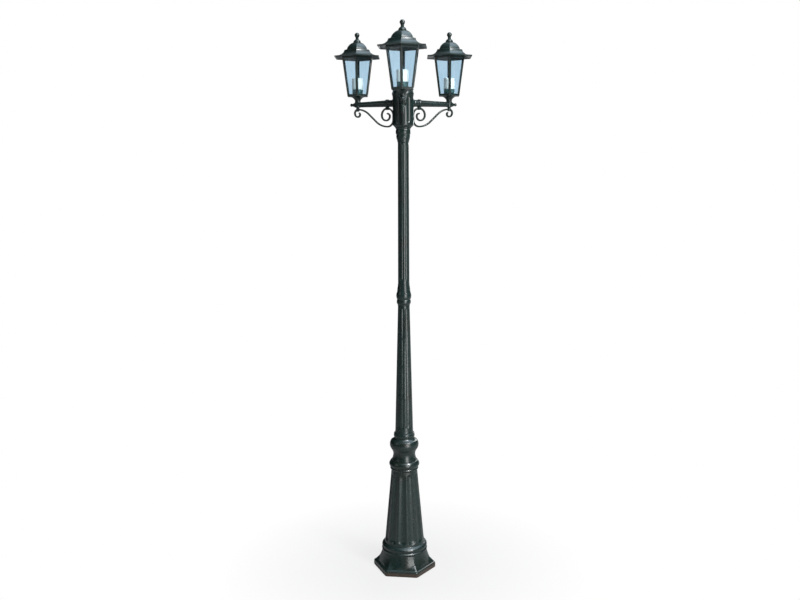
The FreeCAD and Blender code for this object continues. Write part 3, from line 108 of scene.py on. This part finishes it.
def blend(tree, factor, first, second):
    """Two colours mixed by a number."""
    made = add_node(tree, "Mix", data_type="RGBA")
    tree.links.new(factor, made.inputs["Factor"])
    for name, value in (("A", first), ("B", second)):
        spot = next(item for item in made.inputs if item.name == name and item.type == "RGBA")
        if isinstance(value, tuple):
            spot.default_value = (*value, 1.0)
        else:
            tree.links.new(value, spot)
    return next(item for item in made.outputs if item.type == "RGBA")


world = bpy.data.worlds.new("studio")
bpy.context.scene.world = world
world.use_nodes = True
tree = world.node_tree
around = add_node(tree, "TexCoord")
split = add_node(tree, "SeparateXYZ")
tree.links.new(around.outputs["Generated"], split.inputs["Vector"])
path = add_node(tree, "LightPath")
# gloss shows a cool sky overhead, brighter to the right, the white wall behind and little else
SKY_TOP = 3.4
ROOM = 0.20
COOL = (0.70, 0.86, 1.0)
WHITE = (1.0, 1.0, 1.0)
overhead = shade(tree, split.outputs["Z"], 0.02, SKY_TOP, 0.60, 0.97)
from_right = shade(tree, split.outputs["X"], 0.05, 1.5, -0.30, 0.40)
wall = combine(tree, "MULTIPLY", shade(tree, split.outputs["Y"], 0.0, 0.5, 0.82, 0.92),
               shade(tree, split.outputs["X"], 0.1, 1.0, -0.05, 0.25))
sky = combine(tree, "MAXIMUM", combine(tree, "MULTIPLY", overhead, from_right), wall)
first_hit = combine(tree, "LESS_THAN", path.outputs["Diffuse Depth"], 0.5)
gloss = combine(tree, "MULTIPLY", path.outputs["Is Glossy Ray"], first_hit)
direct = combine(tree, "MAXIMUM", path.outputs["Is Camera Ray"], path.outputs["Is Transmission Ray"])
direct = combine(tree, "MULTIPLY", direct, first_hit)
strength = choose(tree, gloss, ROOM, sky)
background = tree.nodes["Background"]
tree.links.new(choose(tree, direct, strength, 1.0), background.inputs["Strength"])
tree.links.new(blend(tree, direct, COOL, WHITE), background.inputs["Color"])

FLOOR_REACH = 40.0
# a hair under the foot, so that the two faces don't lie in one plane
FLOOR_BELOW = 0.0005
FLOOR_GREY = (0.40, 0.40, 0.40, 1.0)
floor_mesh = bpy.data.meshes.new("floor")
build = bmesh.new()
bmesh.ops.create_grid(build, x_segments=8, y_segments=8, size=FLOOR_REACH)
build.to_mesh(floor_mesh)
build.free()
floor = bpy.data.objects.new("floor", floor_mesh)
floor.location.z = -FLOOR_BELOW
bpy.context.scene.collection.objects.link(floor)
floor_paint = bpy.data.materials.new("pale floor")
floor_paint.use_nodes = True
tree = floor_paint.node_tree
floor_shader = tree.nodes["Principled BSDF"]
floor_shader.inputs["Base Color"].default_value = FLOOR_GREY
floor_shader.inputs["Roughness"].default_value = 0.95
floor_place = add_node(tree, "TexCoord")
away = add_node(tree, "VectorMath", operation="LENGTH")
tree.links.new(floor_place.outputs["Object"], away.inputs[0])
path = add_node(tree, "LightPath")
seen = combine(tree, "MAXIMUM", path.outputs["Is Camera Ray"], path.outputs["Is Transmission Ray"])
# the floor keeps a shadow close to the foot and is plain white farther away
seen = combine(tree, "MULTIPLY", seen, shade(tree, away.outputs["Value"], 0.80, 1.0, 0.2, 0.8))
depth = add_node(tree, "SeparateXYZ")
tree.links.new(floor_place.outputs["Object"], depth.inputs["Vector"])
# gloss shows the floor dark in front of the post and pale behind it
behind = shade(tree, depth.outputs["Y"], 0.0, 0.4, 1.0, 3.0)
behind = combine(tree, "MULTIPLY", behind, shade(tree, depth.outputs["X"], 0.1, 1.0, -0.2, 0.8))
behind = combine(tree, "MULTIPLY", behind, path.outputs["Is Glossy Ray"])
blank = combine(tree, "MAXIMUM", seen, behind)
glow = add_node(tree, "Emission", Color=(*WHITE, 1.0), Strength=1.0)
merge = add_node(tree, "MixShader")
tree.links.new(blank, merge.inputs[0])
tree.links.new(floor_shader.outputs["BSDF"], merge.inputs[1])
tree.links.new(glow.outputs["Emission"], merge.inputs[2])
tree.links.new(merge.outputs["Shader"], tree.nodes["Material Output"].inputs["Surface"])
floor_mesh.materials.append(floor_paint)

# each lamp's name, place, the height that it points at, width, height and power
for name, place, aim, width, height, power in (
    ("key", (2.6, -2.5, 4.4), 1.2, 0.9, 0.9, 200.0),
    ("top strip", (1.3, -1.9, 5.0), 1.2, 2.6, 0.6, 50.0),
    ("right strip", (1.7, -3.0, 1.25), 1.25, 1.5, 2.6, 75.0),
    ("left fill", (-3.4, -1.6, 2.4), 1.2, 1.6, 1.6, 8.0),
    ("back fill", (1.4, 3.4, 2.6), 1.2, 1.6, 2.4, 50.0),
):
    lamp_data = bpy.data.lights.new(name, "AREA")
    lamp_data.shape = "RECTANGLE"
    lamp_data.size = width
    lamp_data.size_y = height
    lamp_data.energy = power
    lamp = bpy.data.objects.new(name, lamp_data)
    lamp.location = place
    towards = Vector((0, 0, aim)) - Vector(place)
    lamp.rotation_euler = towards.to_track_quat("-Z", "Y").to_euler()
    bpy.context.scene.collection.objects.link(lamp)


# ---- Base casting ----
# Cast aluminium, hollow and open below. The hexagonal foot has a rolled rim and soft hips that
# run up into a round skirt; a double bead, a fluted cone and a crown bead stand on it. Three lugs
# inside take the anchor bolts.

def new_material(name):
    """A material with its node tree and its Principled shader."""
    material = bpy.data.materials.new(name)
    material.use_nodes = True
    return material, material.node_tree, material.node_tree.nodes["Principled BSDF"]


def link_bump(tree, shader, height, distance, strength=1.0):
    """Raises a surface by a height output, at a real distance in metres."""
    bump = add_node(tree, "Bump", Distance=distance, Strength=strength)
    tree.links.new(height, bump.inputs["Height"])
    tree.links.new(bump.outputs["Normal"], shader.inputs["Normal"])


def ramp(tree, source, stops):
    """A colour ramp over a number: each stop is a place and a colour."""
    made = add_node(tree, "ValToRGB")
    points = made.color_ramp.elements
    while len(points) < len(stops):
        points.new(0.5)
    for point, (spot, colour) in zip(points, stops):
        point.position = spot
        point.color = (*colour, 1.0)
    tree.links.new(source, made.inputs["Fac"])
    return made.outputs["Color"]


def noise(tree, place, size, detail=4.0, rough=0.55):
    """Noise whose patches are about the given size in metres."""
    made = add_node(tree, "TexNoise", Scale=1.0 / size, Detail=detail, Roughness=rough)
    tree.links.new(place, made.inputs["Vector"])
    return made.outputs["Fac"]


def enamel(name, dark, light, brown, rough, browned_low=False):
    """Thick gloss enamel: clouded, with brown where it is thin."""
    material, tree, shader = new_material(name)
    place = add_node(tree, "TexCoord").outputs["Object"]
    fine = noise(tree, place, 0.006, 5.0, 0.6)
    colour = ramp(tree, fine, [(0.36, dark), (0.66, light)])
    worn = noise(tree, place, 0.09, 3.0)
    thin = ramp(tree, worn, [(0.50, (0, 0, 0)), (0.72, (0.55, 0.55, 0.55))])
    colour = blend(tree, thin, colour, brown)
    if browned_low:
        # the foot's upright edge turns brown in patches towards the ground, below about 22 mm
        height = add_node(tree, "SeparateXYZ")
        tree.links.new(place, height.inputs["Vector"])
        low_brown = shade(tree, height.outputs["Z"], 0.8, 0.0, 0.012, 0.022)
        patches = shade(tree, noise(tree, place, 0.02), 0.5, 1.0, 0.35, 0.6)
        low_brown = combine(tree, "MULTIPLY", low_brown, patches)
        colour = blend(tree, low_brown, colour, LOW_EDGE_BROWN)
    tree.links.new(colour, shader.inputs["Base Color"])
    dulled = shade(tree, fine, rough - 0.02, rough + 0.05, 0.3, 0.7)
    tree.links.new(dulled, shader.inputs["Roughness"])
    shader.inputs["Coat Weight"].default_value = 0.2
    shader.inputs["Coat Roughness"].default_value = 0.10
    peel = noise(tree, place, 0.0035, 2.0, 0.5)
    link_bump(tree, shader, peel, 0.00005, 0.5)
    return material


# the brown that the foot's upright edge turns in patches, low down near the ground
LOW_EDGE_BROWN = (0.060, 0.034, 0.022)
# dark and light green-black, the brown where it is thin, and how rough it is
GREEN_BLACK = ((0.0055, 0.0125, 0.0115), (0.0120, 0.0290, 0.0255), (0.013, 0.010, 0.006), 0.28)
foot_enamel = enamel("green black enamel brown low on the foot", *GREEN_BLACK, browned_low=True)
casting_enamel = enamel("green black enamel", *GREEN_BLACK)


def skin(name, rings, closed=False):
    """A smooth skin over rings of points that each go once round, closed end to end or by lids."""
    build = bmesh.new()
    rows = [[build.verts.new(point) for point in ring] for ring in rings]
    for lower, upper in zip(rows, rows[1:] + rows[:1] if closed else rows[1:]):
        for spot, corner in enumerate(lower):
            after = (spot + 1) % len(lower)
            build.faces.new((corner, lower[after], upper[after], upper[spot]))
    if not closed:
        build.faces.new(rows[0])
        build.faces.new(rows[-1])
    bmesh.ops.recalc_face_normals(build, faces=build.faces)
    mesh = bpy.data.meshes.new(name)
    build.to_mesh(mesh)
    build.free()
    mesh.shade_smooth()
    item = bpy.data.objects.new(name, mesh)
    bpy.context.scene.collection.objects.link(item)
    return item


def fit(item, body, material):
    """Puts a finished piece on its body."""
    item.data.materials.append(material)
    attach(item, body)


def swell(start, end, bow, steps):
    """Points of (out, height) from start to end, on an arc that swells outwards by the bow."""
    (low_out, low), (high_out, high) = start, end
    run = math.hypot(high_out - low_out, high - low)
    points = []
    for step in range(steps + 1):
        share = step / steps
        rise = bow * math.sin(math.pi * share)
        points.append((low_out + (high_out - low_out) * share + rise * (high - low) / run,
                       low + (high - low) * share - rise * (high_out - low_out) / run))
    return points


def larger(first, second, soft):
    """The larger of two distances, with a soft hollow where they cross."""
    near = max(soft - abs(first - second), 0.0) / soft
    return max(first, second) + near * near * soft / 4


def hexagon_out(turn, corner, worn):
    """How far out a hexagon with worn corners is. Its corners are at 0, 60, 120 degrees."""
    away = (math.degrees(turn) % 60) - 30
    plain = corner * math.cos(math.radians(30)) / math.cos(math.radians(away))
    return -larger(-plain, worn / 4 - corner, worn)


# the cone's flutes: how many, where they end, their depth, how soft their edges are, and the
# radius of the round cutter at their low and high ends
FLUTES = 12
FLUTE_LOW = 0.126
FLUTE_HIGH = 0.434
FLUTE_DEEP = 0.0065
FLUTE_LIP = 0.0014
CUTTER_LOW = 0.029
CUTTER_HIGH = 0.0175


def flute_depth(turn, height, out):
    """How deep the cone's round-ended flutes go. A round cutter shrinks on its way up."""
    end = min(height - FLUTE_LOW, FLUTE_HIGH - height)
    if end <= 0:
        return 0.0
    share = (height - FLUTE_LOW) / (FLUTE_HIGH - FLUTE_LOW)
    cutter = CUTTER_LOW + (CUTTER_HIGH - CUTTER_LOW) * share
    deep = FLUTE_DEEP
    reach = math.sqrt(2 * cutter * deep - deep * deep)
    if end < reach:
        deep -= cutter - math.sqrt(cutter * cutter - (reach - end) ** 2)
    apart = 360 / FLUTES
    aside = math.radians(abs((math.degrees(turn) + apart / 2) % apart - apart / 2)) * out
    # beyond the cutter's reach the shaft is whole
    aside = min(aside, cutter * 0.95)
    deep += math.sqrt(cutter * cutter - aside * aside) - cutter
    return max(larger(deep, 0.0, FLUTE_LIP) - FLUTE_LIP / 4, 0.0)


STEPS_ROUND = 360


def level_ring(height, out_at):
    """A level ring of points, each as far out as out_at says at its turn."""
    points = []
    for step in range(STEPS_ROUND):
        turn = 2 * math.pi * step / STEPS_ROUND
        out = out_at(turn)
        points.append((out * math.cos(turn), out * math.sin(turn), height))
    return points


HIP_WORN = 0.004
HIP_HOLLOW = 0.006
CONE_LOW = 0.124
CONE_TALL = 0.324
CONE_OUT = 0.0855
CONE_NARROWS = 0.0295
# nothing farther in than this is fluted
INNER_WALL = 0.0555
# the foot and the cone stand turned from the arms, in degrees
BASE_TURN = -6

# (how far out at a foot's corner, how far out of the round parts, height), from the ground up
foot = [(0.1360, 0.0, 0.0), (0.1378, 0.0, 0.0012), (0.1380, 0.0, 0.004), (0.1380, 0.0, 0.0165),
        (0.1376, 0.0, 0.0195), (0.1362, 0.0, 0.0222), (0.1340, 0.0, 0.0236), (0.1318, 0.0, 0.0238),
        (0.1300, 0.0, 0.0243), (0.1280, 0.0, 0.0262), (0.1262, 0.0, 0.0288), (0.1240, 0.111, 0.0318),
        (0.1212, 0.1106, 0.0348), (0.1180, 0.1099, 0.0376), (0.1150, 0.1090, 0.0404),
        (0.1116, 0.1076, 0.0440), (0.1085, 0.1062, 0.0480), (0.1055, 0.1044, 0.0530),
        (0.1020, 0.1024, 0.0590), (0.0985, 0.1004, 0.0660), (0.0950, 0.0987, 0.0730)]

# (how far out, height): the double bead
shaft = [(0.0972, 0.0790), (0.0964, 0.0822), (0.0968, 0.0840)]
shaft += swell((0.0972, 0.0846), (0.0960, 0.0926), 0.0026, 6)
shaft += swell((0.0952, 0.0938), (0.0880, 0.1170), 0.0066, 12)
shaft += [(0.0866, 0.1176), (0.0860, 0.1190), (0.0857, 0.1215)]
# the cone, with its rings close together where the flutes end
cone_heights = [CONE_LOW + 0.0015 * step for step in range(14)]
cone_heights += [0.148 + 0.0055 * step for step in range(49)]
cone_heights += [0.4145 + 0.0018 * step for step in range(18)]
shaft += [(CONE_OUT - CONE_NARROWS * (height - CONE_LOW) / CONE_TALL, height)
          for height in cone_heights]
# the crown bead, and over its edge into the mouth
shaft += [(0.0566, 0.4468), (0.0578, 0.4482)]
shaft += swell((0.0588, 0.4492), (0.0590, 0.4566), 0.0022, 6)
shaft += swell((0.0584, 0.4576), (0.0585, 0.4868), 0.0070, 14)
shaft += [(0.0576, 0.4880), (0.0510, 0.4880), (0.0507, 0.4878), (0.0507, 0.4822), (0.0392, 0.4820)]
# the inner wall, down to the ground
shaft += [(0.0390, 0.4816), (0.0390, 0.4400), (0.0710, 0.1240), (0.0825, 0.0850), (0.0990, 0.0030),
          (0.0990, 0.0)]

rings = []
for corner, round_out, height in foot:
    rings.append(level_ring(height, lambda turn: larger(
        hexagon_out(turn, corner, HIP_WORN), round_out, HIP_HOLLOW)))
for out, height in shaft:
    fluted = out > INNER_WALL
    rings.append(level_ring(height, lambda turn: out - fluted * flute_depth(turn, height, out)))
base = skin("base_casting_finished", rings, closed=True)
base.rotation_euler.z = math.radians(BASE_TURN)
fit(base, "post", foot_enamel)
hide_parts("base_casting")

# a lug stands in from the skirt's wall, with its bolt hole in its middle
LUG_MIDDLE = 0.0795
LUG_HALF_LONG = 0.0285
LUG_HALF_WIDE = 0.0195
LUG_THICK = 0.012
LUG_EDGE = 0.001
LUG_STEPS = 40
BOLT_HOLE = 0.006


def lug_ring(height, trim=None):
    """A ring round a lug, in from its outline by the trim, or without one its bolt hole's edge."""
    points = []
    for step in range(LUG_STEPS):
        turn = 2 * math.pi * (step + 0.5) / LUG_STEPS
        x, y = math.cos(turn), math.sin(turn)
        out = BOLT_HOLE
        if trim is not None:
            out = min(LUG_HALF_LONG / abs(x), LUG_HALF_WIDE / abs(y)) - trim
        points.append((LUG_MIDDLE + x * out, y * out, height))
    return points


lug_rings = [lug_ring(0.0), lug_ring(0.0, LUG_EDGE), lug_ring(LUG_EDGE, 0.0),
             lug_ring(LUG_THICK - LUG_EDGE, 0.0), lug_ring(LUG_THICK, LUG_EDGE), lug_ring(LUG_THICK)]
for number in range(3):
    lug = skin("anchor_lug_%d" % (number + 1), lug_rings, closed=True)
    lug.rotation_euler.z = math.radians(120 * number + BASE_TURN)
    fit(lug, "post", casting_enamel)


# ---- Collars, columns and hub ----
# Cast aluminium collars above the base, between the columns and under the hub, two fluted columns
# of drawn tube, and the cast hub with its screwed cap. All have the same enamel as the base.

def finish(node, material):
    """Gives a CAD node its material."""
    item = nodes[node]
    item.data.materials.clear()
    item.data.materials.append(material)


WELD_REACH = 0.00002
SHARP = 28


def soften(node, width):
    """Rounds a CAD node's sharp edges, as a casting's or a pressing's are."""
    item = nodes[node]
    item.modifiers.new("weld", "WELD").merge_threshold = WELD_REACH
    bevel = item.modifiers.new("soft edges", "BEVEL")
    bevel.width = width
    bevel.segments = 2
    bevel.limit_method = "ANGLE"
    bevel.angle_limit = math.radians(SHARP)
    bevel.harden_normals = True


# each node and how far its edges are rounded
for node, width in (("base_collar", 0.0012), ("lower_column", 0.0009), ("mid_collar", 0.0008),
                    ("upper_column", 0.0008), ("top_collar", 0.0008), ("hub", 0.0010),
                    ("hub_cap", 0.0010), ("hub_cap_screws", 0.0003)):
    finish(node, casting_enamel)
    soften(node, width)


# ---- Tie parts ----
# A zinc-plated steel tube runs down the middle, out of sight. With a nut at each end, a washer in
# the hub and a plate screwed into the base casting, it pulls the stacked castings together. Three
# nuts in the hub hold the arms' tails.

def bare_metal(name, colour, rough, streak):
    """Bare metal with a fine turned or drawn grain and dull patches."""
    material, tree, shader = new_material(name)
    shader.inputs["Metallic"].default_value = 1.0
    grain = add_node(tree, "Mapping", Scale=streak)
    tree.links.new(add_node(tree, "TexCoord").outputs["Object"], grain.inputs["Vector"])
    scratches = noise(tree, grain.outputs["Vector"], 0.016, 8.0, 0.7)
    dull = tuple(part * 0.72 for part in colour)
    tree.links.new(ramp(tree, scratches, [(0.3, dull), (0.7, colour)]), shader.inputs["Base Color"])
    worn = shade(tree, scratches, rough - 0.1, rough + 0.15, 0.0, 1.0)
    tree.links.new(worn, shader.inputs["Roughness"])
    link_bump(tree, shader, scratches, 0.0002, 0.4)
    return material


zinc = bare_metal("zinc plate", (0.60, 0.61, 0.60), 0.38, (1.0, 1.0, 6.0))
for node in ("tie_plate", "tie_plate_screws", "tie_tube", "tie_nuts", "tie_washer", "arm_nuts"):
    finish(node, zinc)


# ---- Terminal block ----
# A white moulded block on the hub's floor, under the screwed cap, where the lamps' leads and the
# supply cable are joined.

def moulded(name, colour, rough):
    """Moulded plastic or glaze: nearly even colour with a faint cloudiness and a soft skin."""
    material, tree, shader = new_material(name)
    cloud = noise(tree, add_node(tree, "TexCoord").outputs["Object"], 0.011, 4.0, 0.5)
    dull = tuple(part * 0.88 for part in colour)
    tree.links.new(ramp(tree, cloud, [(0.3, dull), (0.7, colour)]), shader.inputs["Base Color"])
    handled = shade(tree, cloud, rough - 0.05, rough + 0.1, 0.0, 1.0)
    tree.links.new(handled, shader.inputs["Roughness"])
    link_bump(tree, shader, cloud, 0.0002, 0.3)
    return material


finish("terminal_block", moulded("white plastic", (0.80, 0.79, 0.74), 0.45))
soften("terminal_block", 0.0006)


# ---- Arms and straps ----
# Tapered cast arms, screwed into the hub, with a ball in the end of each. A pressed strap holds
# the scroll near the hub, and an eye nut under the boss holds its other end.

# each arm's name and its turn about the post, in degrees
ARMS = {"front": -90.0, "right": 30.0, "left": 150.0}
for arm in ARMS:
    for node, width in (("arm_", 0.0010), ("arm_ball_", 0.0002), ("scroll_strap_", 0.0006),
                        ("eye_nut_", 0.0007)):
        finish(node + arm, casting_enamel)
        soften(node + arm, width)


# ---- Scrolls ----
# Flat aluminium bar with rolled edges, bent cold round formers into a big loop by the hub, an S
# and a small curl, and cut off round at both ends. The strap and the eye nut hold it to the arm.

BAR_THICK = 0.0066
BAR_WIDE = 0.0090
BAR_CORNER = 0.0018
SECTION_POINTS = 24
ARM_LEVEL = 2.004
# from the arm's axis down to the bar under the strap, and from the post's axis out to the strap,
# to the hub's side and to the curl in the eye nut
HELD_LOW = 0.0195
STRAP_REACH = 0.076
HUB_SIDE = 0.0473
CURL_REACH = 0.222
LOOP = 0.027
S_HEIGHT = 0.074
S_SLOPE = 41.0


def bend(heading, moves):
    """Points along a bar's middle from the strap. A move is a turn and a radius, or 0 and a length."""
    x, z = STRAP_REACH, -HELD_LOW
    points = [(x, z)]
    for turn, size in moves:
        steps = max(round(abs(turn) / 4), 1)
        for _ in range(steps):
            half = math.radians(turn / steps / 2)
            length = 2 * size * math.sin(abs(half)) if turn else size
            x += length * math.cos(math.radians(heading) + half)
            z += length * math.sin(math.radians(heading) + half)
            heading += turn / steps
            points.append((x, z))
    return points


# the S: two bends of one size with a straight between them, in the room that is left for it
slope = math.radians(S_SLOPE)
first_bend = STRAP_REACH - HUB_SIDE
run = CURL_REACH - LOOP - HUB_SIDE
flat = 1 - math.cos(slope)
sweep = (run * math.sin(slope) - S_HEIGHT * math.cos(slope)) / flat / 2
straight = (S_HEIGHT * math.sin(slope) - run * flat) / flat
# the big loop and the curl wind in, a quarter turn or less at a time
loop = bend(0, [(-90, LOOP), (-90, 0.022), (-90, 0.017), (-90, 0.011)])
long_way = bend(180, [(90, first_bend), (0, S_HEIGHT - LOOP - first_bend), (90, LOOP),
                      (S_SLOPE, sweep), (0, straight), (-S_SLOPE, sweep),
                      (-90, 0.015), (-90, 0.0155), (-90, 0.0105), (-60, 0.006)])
middle = loop[:0:-1] + long_way

section = []
for number in range(SECTION_POINTS):
    turn = 2 * math.pi * (number + 0.5) / SECTION_POINTS
    across = BAR_THICK / 2 - BAR_CORNER
    along = BAR_WIDE / 2 - BAR_CORNER
    section.append((math.copysign(across, math.cos(turn)) + BAR_CORNER * math.cos(turn),
                    math.copysign(along, math.sin(turn)) + BAR_CORNER * math.sin(turn)))
# how far on, as a share of half the thickness, and how thick the bar still is there
round_end = [(math.sin(math.radians(turn)), math.cos(math.radians(turn))) for turn in (20, 42, 62, 80)]


def bar_ring(spot, ahead, beyond, share):
    """The bar's section at a point of its middle, moved ahead and narrowed towards a round end."""
    return [(spot[0] + ahead[0] * beyond - ahead[1] * out * share, side * (0.6 + 0.4 * share),
             spot[1] + ahead[1] * beyond + ahead[0] * out * share) for out, side in section]


bar_rings = []
for number, spot in enumerate(middle):
    before, after = middle[max(number - 1, 0)], middle[min(number + 1, len(middle) - 1)]
    ahead = Vector((after[0] - before[0], after[1] - before[1])).normalized()
    if number == 0:
        bar_rings += [bar_ring(spot, ahead, -BAR_THICK / 2 * on, share)
                      for on, share in reversed(round_end)]
    bar_rings.append(bar_ring(spot, ahead, 0.0, 1.0))
    if number == len(middle) - 1:
        bar_rings += [bar_ring(spot, ahead, BAR_THICK / 2 * on, share) for on, share in round_end]

for arm, turn in ARMS.items():
    scroll = skin("scroll_bar_" + arm, bar_rings)
    scroll.location.z = ARM_LEVEL
    scroll.rotation_euler.z = math.radians(turn)
    fit(scroll, "post", casting_enamel)
    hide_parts("scroll_" + arm)


# ---- Lanterns ----
# A cast cup carries a frame of six bars. Six thin blue panes lean in it, and a cast roof with
# a finial drops over them and lifts off.

def pane_glass():
    """Clear pane with a blue tint, slightly uneven, with faint upright streaks of dried rain."""
    material, tree, shader = new_material("blue pane")
    shader.inputs["Transmission Weight"].default_value = 1.0
    shader.inputs["IOR"].default_value = 1.30
    place = add_node(tree, "TexCoord").outputs["Object"]
    drawn = add_node(tree, "Mapping", Scale=(1.0, 1.0, 0.06))
    tree.links.new(place, drawn.inputs["Vector"])
    streaks = noise(tree, drawn.outputs["Vector"], 0.008, 4.0, 0.6)
    colour = ramp(tree, streaks, [(0.30, (0.62, 0.76, 0.86)), (0.72, (0.68, 0.81, 0.89))])
    tree.links.new(colour, shader.inputs["Base Color"])
    tree.links.new(shade(tree, streaks, 0.02, 0.10, 0.3, 0.8), shader.inputs["Roughness"])
    link_bump(tree, shader, noise(tree, place, 0.04, 2.0, 0.5), 0.0003, 0.25)
    clear = add_node(tree, "BsdfTransparent", Color=(0.93, 0.95, 0.96, 1.0))
    through = add_node(tree, "MixShader")
    tree.links.new(add_node(tree, "LightPath").outputs["Is Shadow Ray"], through.inputs[0])
    tree.links.new(shader.outputs["BSDF"], through.inputs[1])
    tree.links.new(clear.outputs["BSDF"], through.inputs[2])
    tree.links.new(through.outputs["Shader"], tree.nodes["Material Output"].inputs["Surface"])
    return material


blue_pane = pane_glass()
for arm in ARMS:
    for node in ("lantern_cup_", "lantern_frame_", "lantern_roof_", "roof_finial_"):
        finish(node + arm, casting_enamel)
    soften("lantern_cup_" + arm, 0.0010)
    soften("lantern_frame_" + arm, 0.0008)
    soften("lantern_roof_" + arm, 0.0012)
    finish("lantern_panes_" + arm, blue_pane)


# ---- Lampholders ----
# Each has a painted steel base, a glazed sleeve and a brass thread. A brass nipple runs down
# through the frame, the cup and the boss, with a nut that holds the base.

holder_paint = enamel("dark green paint", (0.012, 0.045, 0.038), (0.022, 0.070, 0.060),
                      (0.012, 0.030, 0.026), 0.36)
glaze = moulded("white glaze", (0.88, 0.83, 0.74), 0.22)
brass = bare_metal("brass", (0.72, 0.52, 0.24), 0.32, (1.0, 1.0, 4.0))
for arm in ARMS:
    finish("holder_base_" + arm, holder_paint)
    soften("holder_base_" + arm, 0.0006)
    finish("holder_sleeve_" + arm, glaze)
    soften("holder_sleeve_" + arm, 0.0008)
    finish("lamp_socket_" + arm, brass)
    finish("nipple_" + arm, brass)
finish("nipple_nuts", brass)
